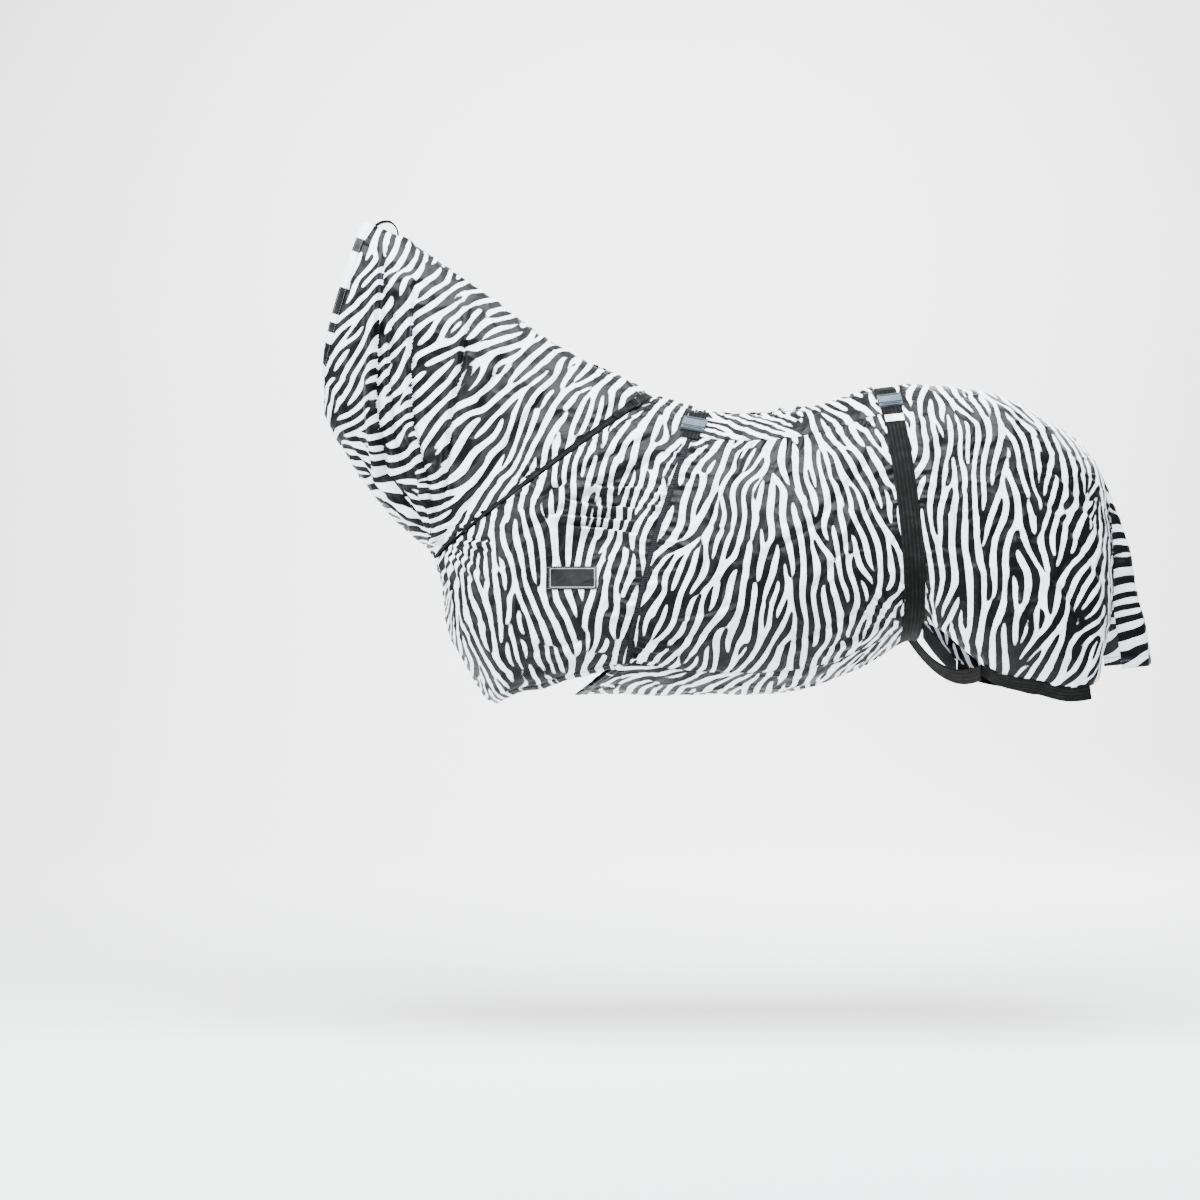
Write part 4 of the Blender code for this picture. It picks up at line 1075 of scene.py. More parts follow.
def floor_finish(name, colour):
    made = Finish(name, Specular_IOR_Level=0.2)
    cloud = made.noise(0.6, 3.0)
    made.feed(
        Base_Color=made.mix(cloud, rgba(colour), rgba([c * 0.985 for c in colour])),
        Roughness=0.85 + cloud * 0.05,
    )
    return made.material


# ---------------------------------------------------------------- stitches


def stitch_tree():
    """Geometry nodes that lay a row of stitches along the edges of a mesh of lines."""
    tree = bpy.data.node_groups.new("stitch_row", "GeometryNodeTree")
    face = tree.interface
    face.new_socket("Lines", in_out="INPUT", socket_type="NodeSocketGeometry")
    for name in ("Pitch", "Stitch Length", "Thread Radius"):
        face.new_socket(name, in_out="INPUT", socket_type="NodeSocketFloat")
    face.new_socket("Thread", in_out="INPUT", socket_type="NodeSocketMaterial")
    face.new_socket("Stitches", in_out="OUTPUT", socket_type="NodeSocketGeometry")
    new, link = tree.nodes.new, tree.links.new
    start, end = new("NodeGroupInput"), new("NodeGroupOutput")
    curve = new("GeometryNodeMeshToCurve")
    sample = new("GeometryNodeResampleCurve")
    sample.mode = "LENGTH"
    tangent = new("GeometryNodeInputTangent")
    align = new("FunctionNodeAlignRotationToVector")
    align.axis = "Z"
    thread = new("GeometryNodeMeshCylinder")
    thread.inputs["Vertices"].default_value = 5
    place_on = new("GeometryNodeInstanceOnPoints")
    realize = new("GeometryNodeRealizeInstances")
    dress = new("GeometryNodeSetMaterial")
    link(start.outputs["Lines"], curve.inputs["Mesh"])
    link(curve.outputs["Curve"], sample.inputs["Curve"])
    link(start.outputs["Pitch"], sample.inputs["Length"])
    link(sample.outputs["Curve"], place_on.inputs["Points"])
    link(tangent.outputs["Tangent"], align.inputs["Vector"])
    link(align.outputs["Rotation"], place_on.inputs["Rotation"])
    link(start.outputs["Stitch Length"], thread.inputs["Depth"])
    link(start.outputs["Thread Radius"], thread.inputs["Radius"])
    link(thread.outputs["Mesh"], place_on.inputs["Instance"])
    link(place_on.outputs["Instances"], realize.inputs["Geometry"])
    link(realize.outputs["Geometry"], dress.inputs["Geometry"])
    link(start.outputs["Thread"], dress.inputs["Material"])
    link(dress.outputs["Geometry"], end.inputs["Stitches"])
    return tree


STITCH_LINES = {}  # (body, thread colour) to the lines that stitches follow


def note_stitches(body, thread, line):
    STITCH_LINES.setdefault((body, thread), []).append(np.asarray(line, float))


def stitch_object(name, lines, settings, thread, tree):
    vertices, edges = [], []
    for line in lines:
        start = len(vertices)
        vertices.extend(map(tuple, line))
        edges.extend((start + k, start + k + 1) for k in range(len(line) - 1))
    mesh = bpy.data.meshes.new(name)
    mesh.from_pydata(vertices, edges, [])
    source = linked(name, mesh)
    modifier = source.modifiers.new("stitches", "NODES")
    modifier.node_group = tree
    wanted = {
        "Pitch": settings.stitch_pitch,
        "Stitch Length": settings.stitch_length,
        "Thread Radius": settings.thread_radius,
        "Thread": thread,
    }
    for item in tree.interface.items_tree:
        if item.name in wanted:
            modifier[item.identifier] = wanted[item.name]
    graph = bpy.context.evaluated_depsgraph_get()
    made = bpy.data.meshes.new_from_object(source.evaluated_get(graph))
    made.name = name
    source.modifiers.clear()
    source.data = made
    for polygon in made.polygons:
        polygon.use_smooth = True
    return source


# ---------------------------------------------------------------- settings


class FlySheetCloth(bpy.types.PropertyGroup):
    stripe_period: bpy.props.FloatProperty(
        name="Stripe Period",
        description="Width of one black and one white stripe together",
        default=0.031,
        unit="LENGTH",
    )
    fold_depth: bpy.props.FloatProperty(
        name="Fold Depth", description="Multiplies every fold and gather", default=1.5
    )
    white: bpy.props.FloatVectorProperty(
        name="White", description="Light stripes", default=(0.82, 0.86, 0.92), subtype="COLOR"
    )
    black: bpy.props.FloatVectorProperty(
        name="Black", description="Dark stripes", default=(0.0010, 0.0011, 0.0013), subtype="COLOR"
    )
    roughness: bpy.props.FloatProperty(
        name="Roughness", description="Of the white stripes", default=0.46, subtype="FACTOR"
    )


class FlySheetTrim(bpy.types.PropertyGroup):
    webbing: bpy.props.FloatVectorProperty(
        name="Webbing",
        description="Colour of the straps",
        default=(0.0016, 0.0017, 0.0015),
        subtype="COLOR",
    )
    plastic: bpy.props.FloatVectorProperty(
        name="Plastic",
        description="Colour of the buckles",
        default=(0.045, 0.060, 0.075),
        subtype="COLOR",
    )
    bevel: bpy.props.FloatProperty(
        name="Edge Radius", description="Of the moulded hardware", default=0.0009, unit="LENGTH"
    )
    stitch_pitch: bpy.props.FloatProperty(
        name="Stitch Pitch", description="From stitch to stitch", default=0.0065, unit="LENGTH"
    )
    stitch_length: bpy.props.FloatProperty(
        name="Stitch Length", description="Of the thread that shows", default=0.0042, unit="LENGTH"
    )
    thread_radius: bpy.props.FloatProperty(
        name="Thread Radius", description="Of the sewing thread", default=0.0003, unit="LENGTH"
    )


class FlySheetStudio(bpy.types.PropertyGroup):
    floor_drop: bpy.props.FloatProperty(
        name="Floor Drop", description="From the withers to the floor", default=1.73, unit="LENGTH"
    )
    floor: bpy.props.FloatVectorProperty(
        name="Floor",
        description="Colour of the floor and backdrop",
        default=(0.90, 0.90, 0.90),
        subtype="COLOR",
    )
    top_light: bpy.props.FloatProperty(
        name="Top Light", description="Power of the large light above", default=1050.0, unit="POWER"
    )
    side_light: bpy.props.FloatProperty(
        name="Side Light",
        description="Power of the light beside the camera",
        default=720.0,
        unit="POWER",
    )
    backdrop_light: bpy.props.FloatProperty(
        name="Backdrop Light",
        description="Power of the light on the backdrop",
        default=900.0,
        unit="POWER",
    )


FINISHES = {}


def finishes():
    """The materials, made once."""
    if not FINISHES:
        cloth, trim = bpy.context.scene.fly_cloth, bpy.context.scene.fly_trim
        FINISHES.update(
            cloth=cloth_finish("zebra_cloth_print", cloth),
            webbing=webbing_finish("black_ribbed_webbing", trim.webbing),
            webbing_plain=plastic_finish("black_strap_end", (0.0030, 0.0031, 0.0030), 0.05, 0.7),
            # Painted shade: the elastic's near-black colour stands in for the shadow in its
            # gathers.
            elastic=elastic_finish("ruched_elastic_painted_shade", (0.012, 0.013, 0.015)),
            plastic=plastic_finish("grey_moulded_plastic", trim.plastic),
            dark_plastic=plastic_finish(
                "dark_moulded_plastic", (0.004, 0.0043, 0.0046), 0.08, 0.45
            ),
            label=label_finish("woven_label"),
            white=webbing_finish("white_soft_elastic", (0.62, 0.62, 0.60)),
            light_thread=thread_finish("light_thread", (0.30, 0.31, 0.33)),
            dark_thread=thread_finish("dark_thread", (0.012, 0.012, 0.013)),
        )
    return FINISHES


GRIDS = {}  # finished cloth, for the trim that lies on it


def lined(grid, edge, step):
    """A line on the cloth that many points in from an edge, a little off it."""
    raised = grid.outer + grid.n * CLOTH_THREAD
    return {
        "front": raised[:, step],
        "rear": raised[:, -1 - step],
        "top": raised[step],
        "foot": raised[-1 - step],
    }[edge]


PANELS = {
    # name: (front line, rear line, first row, last row, keys, flat width, flat length, flat area)
    "neck_cover": (
        lambda row: 0.0 * row,
        lambda row: beside(NECK_STRAP, -0.0125 + 0.016 * np.clip((row - 2) / 7, 0, 1))(row),
        0, 12, None, 0.87, 0.90, 0.488,
    ),
    "shoulder_panel": (
        beside(NECK_STRAP, NECK_STRAP_WIDTH / 2), beside(GIRTH, -GIRTH_WIDTH / 2),
        0, 12, SHOULDER_KEYS, 0.93, 1.21, 0.407,
    ),
    "saddle_panel": (
        beside(GIRTH, GIRTH_WIDTH / 2), beside(FLANK, -FLANK_WIDTH / 2),
        0, SADDLE_ROW, None, 0.51, 0.185, 0.087,
    ),
    "flank_panel": (
        beside(GIRTH, GIRTH_WIDTH / 2), beside(FLANK, -FLANK_WIDTH / 2),
        SADDLE_ROW, 12, None, 0.75, 0.69, 0.425,
    ),
    "rump_panel": (
        beside(FLANK, FLANK_WIDTH / 2), lambda row: REAR_EDGE + 0.0 * row,
        0, 12, None, 0.67, 0.90, 0.486,
    ),
}


class Dress(bpy.types.Operator):
    bl_options = {"REGISTER"}

    def execute(self, context):
        self.make(context.scene.fly_cloth, context.scene.fly_trim, finishes())
        return {"FINISHED"}


class FLYSHEET_OT_panels(Dress):
    """Makes the neck cover, shoulder, saddle, flank and rump panels of both sides"""

    bl_idname = "flysheet.panels"
    bl_label = "Cloth Panels"

    def make(self, cloth, trim, finish):
        for number, (name, plan) in enumerate(PANELS.items()):
            front, rear, low, high, keys, width, length, area = plan
            step = WIDE_STEP if name in ("neck_cover", "shoulder_panel") else STEP
            base = form_grid(front, rear, low, high, keys, step)
            for side_name, side in SIDES.items():
                grid = base if side < 0 else base.mirrored()
                seed = 20 + number * 10 + (side > 0)
                out, slip = drape(name, grid, seed, cloth.fold_depth)
                if name == "neck_cover":  # its low rear edge laps over the strap
                    out = out + 0.0016 * np.exp(-((grid.edges["rear"][0] / 0.02) ** 2))
                stripe = printed(name, grid, slip, seed + 3, cloth.stripe_period)
                piece = cloth_object(
                    f"cloth_{name}_{side_name}", grid, out, finish["cloth"], stripe
                )
                place(piece, "sheet", "zebra_cloth", f"{name}_{side_name}")
                GRIDS[f"{name}_{side_name}"] = grid
                for edge in SEWN[name]:
                    note_stitches("sheet", "dark_thread", lined(grid, edge, 1))


class FLYSHEET_OT_belly(Dress):
    """Makes the belly panel, which joins the two flanks under the body"""

    bl_idname = "flysheet.belly"
    bl_label = "Belly Panel"

    def make(self, cloth, trim, finish):
        half = form_grid(
            belly_front, beside(FLANK, -FLANK_WIDTH / 2), ROWS, ROWS + BELLY_ROWS
        )
        other = half.mirrored()
        grid = Grid(
            np.concatenate([half.p, other.p[-2::-1]]), np.concatenate([half.n, other.n[-2::-1]])
        )
        grid.a = np.concatenate([half.a, half.a[-2::-1]])
        grid.angle = np.concatenate([half.angle, 2 * math.pi - half.angle[-2::-1]])
        out, slip = drape("belly_panel", grid, 90, cloth.fold_depth)
        stripe = printed("belly_panel", grid, slip, 93, cloth.stripe_period * 1.15)
        piece = cloth_object("cloth_belly_panel", grid, out, finish["cloth"], stripe)
        place(piece, "sheet", "zebra_cloth", "belly_panel")
        GRIDS["belly_panel"] = grid
        for edge in ("top", "foot"):
            note_stitches("sheet", "dark_thread", lined(grid, edge, 1))


def tail_grid():
    """The tail flap's points, from the seam at the tail root down to its hem."""
    rows, columns = 92, 49
    swing = np.linspace(-1, 1, columns)
    rear = np.full(columns, float(REAR_EDGE))
    seam_angle = row_angle(rear, np.abs(swing) * 4)
    seam_normal = form_normal(rear, seam_angle)
    back = unit(form_slopes(rear, seam_angle)[0]) * 0.0005
    seam = form_point(rear, seam_angle) + back
    flip = np.where(swing > 0, -1.0, 1.0)
    seam[:, 1] *= flip
    seam_normal[:, 1] *= flip
    t = np.linspace(0, 1, rows)[:, None]
    top_half = np.abs(seam[0, 1])
    turn = swing[None, :] * math.pi / 2
    side, middle = (through(line, t[:, 0] * (len(line) - 1)) for line in (TAIL_SIDE, TAIL_MIDDLE))
    p = side[:, None] + (middle - side)[:, None] * np.cos(turn)[..., None]
    p[..., 1] = (top_half + (TAIL_LOW_HALF - top_half) * t) * np.sin(turn)
    share = smooth(np.clip(t / 0.14, 0, 1))[..., None]
    lifted = p - (p[0] - seam)[None] * (1 - share)
    n = np.stack([np.cos(turn) + 0 * t, np.sin(turn) * 0.9 + 0 * t, 0.25 * (1 - t) + 0 * turn], -1)
    n = unit(n * share + seam_normal[None] * (1 - share))
    return Grid(lifted, n)


class FLYSHEET_OT_tail_flap(Dress):
    """Makes the tail flap, which bends at its seam, and its turned hem"""

    bl_idname = "flysheet.tail_flap"
    bl_label = "Tail Flap"

    def make(self, cloth, trim, finish):
        grid = tail_grid()
        out, _ = drape("tail_flap", grid, 70, cloth.fold_depth)
        fall = np.clip(grid.v / 0.2, 0, 1)
        flutes = np.sin(grid.p[..., 1] / 0.115 * 7.5 + 0.6 * wander(grid.v, 4, 0.4))
        out = out + cloth.fold_depth * 0.0075 * fall * flutes
        out = np.where(grid.v < 0.004, 0.0, out)
        edge, above = grid.p[-1], grid.p[-3]
        hem_p, _ = strip_on(
            edge, grid.n[-1], unit(edge - above), TAIL_HEM_WIDTH, 6, hem_profile, 0.0
        )
        both = Grid(
            np.concatenate([grid.p, hem_p.swapaxes(0, 1)[1:]]),
            np.concatenate([grid.n, np.repeat(grid.n[-1:], 6, 0)]),
        )
        lean = lean_at("tail_flap", both.p) + 0.3 * undulation(both.p, 75, 0.075)
        stripe = stripes(both, lean, 71, cloth.stripe_period * 1.25)
        hem_stripe, stripe = stripe[-7:].T, stripe[:-6]
        piece = cloth_object("cloth_tail_flap", grid, out, finish["cloth"], stripe)
        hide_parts("tail_flap")
        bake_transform(piece)
        edge, above = grid.outer[-1], grid.outer[-3]
        away, n = unit(edge - above), grid.n[-1]
        outer, inner = strip_on(edge, n, away, TAIL_HEM_WIDTH, 6, hem_profile, HEM_THICKNESS)
        fields = {"stripe": hem_stripe}
        hem = strap_object("hem_tail_flap", outer, inner, finish["cloth"], fields=fields)
        place(hem, "tail_flap", "zebra_cloth", "tail_flap_hem")
        note_stitches("tail_flap", "light_thread", outer[:, 1] + n * CLOTH_THREAD)


def edge_frames(grid, edge):
    """A cut edge's points, normals and the way off the cloth."""
    pick = {
        "front": (np.s_[:, 0], np.s_[:, 2]),
        "rear": (np.s_[:, -1], np.s_[:, -3]),
        "top": (np.s_[0], np.s_[2]),
        "foot": (np.s_[-1], np.s_[-3]),
    }[edge]
    line, behind, n = grid.outer[pick[0]], grid.outer[pick[1]], grid.n[pick[0]]
    run = unit(np.gradient(line, axis=0))
    away = unit(np.cross(n, run))
    return line, n, away * np.sign(dot(away, line - behind))[:, None], grid.stripe[pick[0]]


def hem_profile(s):
    """A turned hem is fullest near its fold."""
    return 0.0007 + 0.0011 * np.sin(np.clip(s * 1.15, 0, 1) * math.pi)


class FLYSHEET_OT_hems(Dress):
    """Makes the turned hems of the head opening, the front and the belly panel"""

    bl_idname = "flysheet.hems"
    bl_label = "Hems"

    def hem(self, name, node, line, n, away, print_there, width, finish, seed, wrap=False):
        length = np.linalg.norm(np.diff(line, axis=0), axis=-1).sum()
        ripple = 0.0008 * wander(np.linspace(0, length, len(line)), seed, 0.03)
        outer, inner = strip_on(
            line + n * ripple[:, None], n, away, width, 6, hem_profile, HEM_THICKNESS
        )
        grid = Grid(outer, np.repeat(n[:, None], 7, 1))
        stripe = print_there[:, None] + 0 * grid.u
        made = shell_object(
            name, outer, inner, finish["cloth"], {"stripe": stripe}, (grid.v, grid.u), wrap
        )
        place(made, "sheet", "zebra_cloth", node)
        for k in (1, 5):
            note_stitches("sheet", "light_thread", outer[:, k] + n * HEM_THREAD)
        return made

    def make(self, cloth, trim, finish):
        left, right = GRIDS["neck_cover_left"], GRIDS["neck_cover_right"]
        sides = zip(edge_frames(left, "front"), edge_frames(right, "front"))
        ring = [np.concatenate([near, far[-2:0:-1]]) for near, far in sides]
        self.hem("hem_head_opening", "head_opening_hem", *ring, HEAD_HEM_WIDTH, finish, 5, True)
        left, right = GRIDS["shoulder_panel_left"], GRIDS["shoulder_panel_right"]
        sides = zip(edge_frames(left, "foot"), edge_frames(right, "foot"))
        turn = int(np.argmin(np.abs(left.a[-1] - CHEST_CORNER)))
        line = [np.concatenate([far[turn:-6][::-1], near[turn:-6][1:]]) for near, far in sides]
        self.hem("hem_front", "front_hem", *line, FRONT_HEM_WIDTH, finish, 6)
        belly = [values[5:-5] for values in edge_frames(GRIDS["belly_panel"], "front")]
        self.hem("hem_belly_front", "belly_front_hem", *belly, FRONT_HEM_WIDTH, finish, 7)


class FLYSHEET_OT_straps(Dress):
    """Makes the neck, flank, hind and leg straps in ribbed webbing"""

    bl_idname = "flysheet.straps"
    bl_label = "Webbing Straps"

    def on_form(
        self, name, node, station, width, low, high, count, side, finish, proud, taper=None
    ):
        half = width / 2
        narrow = taper or (lambda row: 1.0)
        grid = form_grid(
            lambda row: beside(station, -half * narrow(row))(row),
            lambda row: beside(station, half * narrow(row))(row),
            low,
            high,
            step=0.007,
        )
        picked = np.linspace(0, grid.p.shape[1] - 1, count + 1)
        j = picked.astype(int)
        f = (picked - j)[None, :, None]
        j1 = np.minimum(j + 1, grid.p.shape[1] - 1)
        p, n = (v[:, j] * (1 - f) + v[:, j1] * f for v in (grid.p, grid.n))
        if side > 0:
            p, n = p * (1, -1, 1), n * (1, -1, 1)
        s = np.linspace(-1, 1, count + 1)
        run = Grid(p, n).v
        out = proud + 0.0007 * (1 - s**2)[None] + 0.0006 * wander(run, int(station) + side, 0.12)
        outer = p + n * out[..., None]
        made = strap_object(name, outer, outer - n * STRAP_THICKNESS, finish)
        place(made, "sheet", "black_webbing", node)
        return outer, n

    def make(self, cloth, trim, finish):
        for side_name, side in SIDES.items():
            narrow = lambda row: 1.0 - 0.45 * np.clip(row / 12, 0, 1)
            self.on_form(
                f"strap_neck_{side_name}", f"neck_strap_{side_name}", NECK_STRAP,
                NECK_STRAP_WIDTH, 0, 12, 6, side, finish["webbing"], 0.0012, narrow,
            )
            outer, n = self.on_form(
                f"strap_flank_{side_name}", f"flank_webbing_{side_name}", FLANK,
                FLANK_WIDTH + LAP, 0, 16, 12, side, finish["webbing"], 0.0026,
            )
            for k in (1, 2, -2, -3):
                note_stitches("sheet", "dark_thread", outer[:, k] + n[:, k] * WEB_THREAD)
            grid = GRIDS[f"rump_panel_{side_name}"]
            p, normal, away, _ = edge_frames(grid, "foot")
            stations = form_grid(*PANELS["rump_panel"][:5]).a[-1]
            inside = (stations > HIND_BAND[0]) & (stations < HIND_BAND[1])
            p, normal, away = p[inside], normal[inside], away[inside]
            p = p - away * 0.008 + normal * 0.0014
            crown = lambda s: 0.0004 * np.sin(s * math.pi)
            outer, inner = strip_on(
                p, normal, away, HIND_BAND_WIDTH + LAP, 8, crown, BAND_THICKNESS
            )
            band = strap_object(f"strap_hind_hem_{side_name}", outer, inner, finish["webbing"])
            place(band, "sheet", "black_webbing", f"hind_hem_band_{side_name}")
            for k in (1, -2):
                note_stitches("sheet", "dark_thread", outer[:, k] + normal * CLOTH_THREAD)
            self.leg_strap(side_name, side, finish["webbing"])

    def leg_strap(self, side_name, side, webbing):
        groin = beside(FLANK, FLANK_WIDTH / 2 + 0.0025)(np.array(float(ROWS)))
        start, end = (form_point(np.array(float(a)), hem_angle(a)) for a in (groin, HIND_BAND[0]))
        tuck, drop = 0.0045, LEG_STRAP_WIDTH / 2 + 0.0009
        start = np.array([start[0], (start[1] + tuck) * -side, start[2] - drop])
        end = np.array([end[0] - 0.004, (end[1] + tuck) * side, end[2] - drop])
        sag = {"left": 0.004, "right": 0.056}[side_name]
        t = np.linspace(0, 1, 73)[:, None]
        points = start + (end - start) * t
        points[:, 2:] -= sag * 4 * t * (1 - t)
        tilt = 0.25 * np.sin(t * math.pi)
        run = unit((end - start) * (1, 1, 0))
        level = np.cross(run, (0, 0, 1.0))
        across = LEG_STRAP_WIDTH * (np.array([0, 0, 1.0]) * np.cos(tilt) + level * np.sin(tilt))
        outer, inner = ribbon_grid(points, across, LEG_STRAP_THICKNESS, 8)
        made = strap_object(f"strap_leg_{side_name}", outer, inner, webbing)
        place(made, "sheet", "black_webbing", f"leg_strap_{side_name}")
        off = unit(outer - inner)
        for k in (1, -2):
            note_stitches("sheet", "dark_thread", outer[:, k] + off[:, k] * WEB_THREAD)


class FLYSHEET_OT_elastic(Dress):
    """Makes the ruched elastic seams behind the shoulders"""

    bl_idname = "flysheet.elastic"
    bl_label = "Ruched Elastic"

    def make(self, cloth, trim, finish):
        half = GIRTH_WIDTH / 2
        for side_name, side in SIDES.items():
            grid = form_grid(beside(GIRTH, -half), beside(GIRTH, half), 0, 12, step=0.0022)
            if side > 0:
                grid = grid.mirrored()
            s = np.linspace(-1, 1, grid.p.shape[1])[None]
            phase = grid.v * 2 * math.pi / 0.0085 + 1.6 * wander(grid.v, 31 + side, 0.05) + 0.7 * s
            out = 0.0004 + (0.0016 + 0.0012 * np.sin(phase)) * (1 - s**2)
            grid.outer = grid.p + grid.n * out[..., None]
            piece = shell_object(
                f"elastic_girth_{side_name}",
                grid.outer,
                grid.outer - grid.n * 0.0016,
                finish["elastic"],
                None,
                (grid.v, grid.u),
            )
            place(piece, "sheet", "ruched_elastic", f"girth_elastic_{side_name}")


class FLYSHEET_OT_buckles(Dress):
    """Makes the four side-release buckles and the webs that hold them"""

    bl_idname = "flysheet.buckles"
    bl_label = "Buckles"

    def lie(self, station, low, high, lift):
        """A web's path in the buckle's frame: it leaves the buckle and lies on the cloth."""
        v = np.linspace(low, high, 7)
        on_cloth = facet_height(station, BUCKLE_ROW, v) + 0.0006 + WEBBING
        return list(zip(v, np.maximum(lift, on_cloth)))

    def web(self, name, node, body, matrix, path, width, finish):
        frame_points = np.array([matrix @ Vector((0, v, w)) for v, w in path])
        dense = through(frame_points, np.linspace(0, len(path) - 1, 22))
        across = np.array(matrix.to_3x3() @ Vector((width, 0, 0)))
        outer, inner = ribbon_grid(dense, np.tile(across, (len(dense), 1)), STRAP_THICKNESS, 8)
        made = strap_object(name, outer, inner, finish)
        place(made, body, "black_webbing", node)
        off = unit(outer - inner)
        away = dot(off[0, 0], np.array(matrix.to_3x3() @ Vector((0, 0, 1))))
        face = outer if away > 0 else inner
        lift = off * (WEB_THREAD if away > 0 else -WEB_THREAD)
        for k in (1, -2):
            note_stitches(body, "dark_thread", face[2:-2, k] + lift[2:-2, k])
        return made

    def make(self, cloth, trim, finish):
        for place_name, station in (("front", GIRTH), ("rear", FLANK)):
            for side_name, side in SIDES.items():
                name = f"{place_name}_{side_name}"
                matrix = facet_frame(station, BUCKLE_ROW, side)
                body = f"housing_{name}"
                housing = tidy_copy(
                    f"buckle_housing_{name}", f"buckle_socket_{name}", finish["plastic"], trim.bevel
                )
                place(housing, body, "grey_plastic", f"buckle_housing_{name}")
                plug = tidy_copy(
                    f"buckle_plug_{name}", f"buckle_bar_{name}", finish["plastic"], trim.bevel
                )
                place(plug, "sheet", "grey_plastic", f"buckle_plug_{name}")
                for hand in ("front", "rear"):
                    node = f"buckle_prong_{hand}_{name}"
                    arm = f"buckle_arm_{hand}_{name}"
                    prong = tidy_copy(node, arm, finish["dark_plastic"], 0.0005)
                    place(prong, f"prong_{hand}_{name}", "grey_plastic", node)
                lower = self.lie(station, *PLUG_WEB, BUCKLE_LIFT - 0.0003 - WEBBING / 2)
                upper = self.lie(station, *HOUSING_WEB, BUCKLE_LIFT + WEBBING / 2)
                for web, node, holder, path in (
                    (f"web_lower_{name}", f"plug_web_{name}", "sheet", lower),
                    (f"web_upper_{name}", f"housing_web_{name}", body, upper),
                ):
                    self.web(web, node, holder, matrix, path, WEB_WIDTH, finish["webbing"])


class FLYSHEET_OT_sliders(Dress):
    """Makes the adjusting sliders and strap ends on the neck strap"""

    bl_idname = "flysheet.sliders"
    bl_label = "Sliders"

    def make(self, cloth, trim, finish):
        for side_name in SIDES:
            body, node = f"slider_{side_name}", f"strap_slider_{side_name}"
            slider = tidy_copy(node, body, finish["dark_plastic"], 0.0006)
            place(slider, body, "grey_plastic", node)
            node = f"neck_strap_end_{side_name}"
            end = tidy_copy(node, f"strap_end_{side_name}", finish["webbing_plain"], 0.0005)
            place(end, "sheet", "black_webbing", node)


def heights_over(facet, piece):
    """The heights over a facet of a piece's points near its middle."""
    points = seen_from(facet, np.array([v.co for v in piece.data.vertices]))
    return points[(np.abs(points[:, 0]) < 0.030) & (np.abs(points[:, 1]) < 0.016), 2]


class FLYSHEET_OT_label(Dress):
    """Makes the blank woven label on the left shoulder and the white strap keepers"""

    bl_idname = "flysheet.label"
    bl_label = "Label and Keepers"

    def make(self, cloth, trim, finish):
        grid = GRIDS["shoulder_panel_left"]
        rows, columns = LABEL_POINTS
        x = np.linspace(*LABEL_X, columns)[None, :]
        z = np.linspace(*LABEL_Z, rows)[:, None]
        outer = grid.outer.reshape(-1, 3)
        normals = grid.n.reshape(-1, 3)
        flat = np.stack([x + 0 * z, z + 0 * x], -1).reshape(-1, 2)
        gap = ((flat[:, None] - outer[None, :, (0, 2)]) ** 2).sum(-1)
        near = gap.argmin(1)
        base, n = outer[near], normals[near]
        y = base[:, 1] - (
            (flat[:, 0] - base[:, 0]) * n[:, 0] + (flat[:, 1] - base[:, 2]) * n[:, 2]
        ) / n[:, 1]
        p = np.stack([flat[:, 0], y, flat[:, 1]], -1).reshape(rows, columns, 3)
        n = n.reshape(rows, columns, 3)
        top = p + n * 0.0021
        u, v = x - x[0, 0] + 0 * z, z[0, 0] - z + 0 * x
        rim = np.minimum(np.minimum(u, u.max() - u), np.minimum(v, v.max() - v))
        piece = shell_object(
            "label_side", top, p + n * 0.0009, finish["label"], {"rim": rim}, (u, v)
        )
        place(piece, "sheet", "label_cloth", "side_label")
        for line in (top[1], top[-2], top[1:-1, 1], top[1:-1, -2]):
            note_stitches("sheet", "light_thread", line + (0, -WEB_THREAD, 0))
        for side_name, side in SIDES.items():
            node = f"strap_keeper_{side_name}"
            keeper = tidy_copy(node, f"keeper_{side_name}", finish["white"], 0.0003)
            facet = facet_frame(FLANK, BUCKLE_ROW + 1, side)
            strap = heights_over(facet, bpy.data.objects[f"strap_flank_{side_name}"])
            rise = strap.max() + 0.0003 - heights_over(facet, keeper).min()
            keeper.data.transform(Matrix.Translation(facet.to_3x3() @ Vector((0, 0, rise))))
            place(keeper, "sheet", "white_elastic", node)


class FLYSHEET_OT_poll_loop(Dress):
    """Makes the loop behind the poll that takes a headpiece"""

    bl_idname = "flysheet.poll_loop"
    bl_label = "Poll Loop"

    def make(self, cloth, trim, finish):
        for node, (count, thickness) in POLL_LOOP.items():
            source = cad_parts[node]
            points = np.array([v.co for v in source.data.vertices])
            edge = points[points[:, 1] > 0]
            order = np.unique(np.round(edge, 6), axis=0)
            along = unit(order[-1] - order[0])
            order = order[np.argsort(order @ along)]
            pairs = order.reshape(count, 2, 3).mean(1)
            centre = through(pairs * (1, 0, 1), np.linspace(0, count - 1, 49))
            width = np.tile((0, 0.026, 0), (49, 1))
            outer, inner = ribbon_grid(centre, width, thickness, 6)
            made = strap_object(f"loop_{node}", outer, inner, finish["webbing"])
            place(made, "sheet", "black_webbing", node)


class FLYSHEET_OT_stitches(Dress):
    """Sews the seams: one row of thread along every noted line"""

    bl_idname = "flysheet.stitches"
    bl_label = "Stitches"

    def make(self, cloth, trim, finish):
        tree = stitch_tree()
        for (body, thread), lines in STITCH_LINES.items():
            name = f"stitches_{thread}_{body}"
            piece = stitch_object(name, lines, trim, finish[thread], tree)
            place(piece, body, "black_webbing" if thread == "dark_thread" else "zebra_cloth")


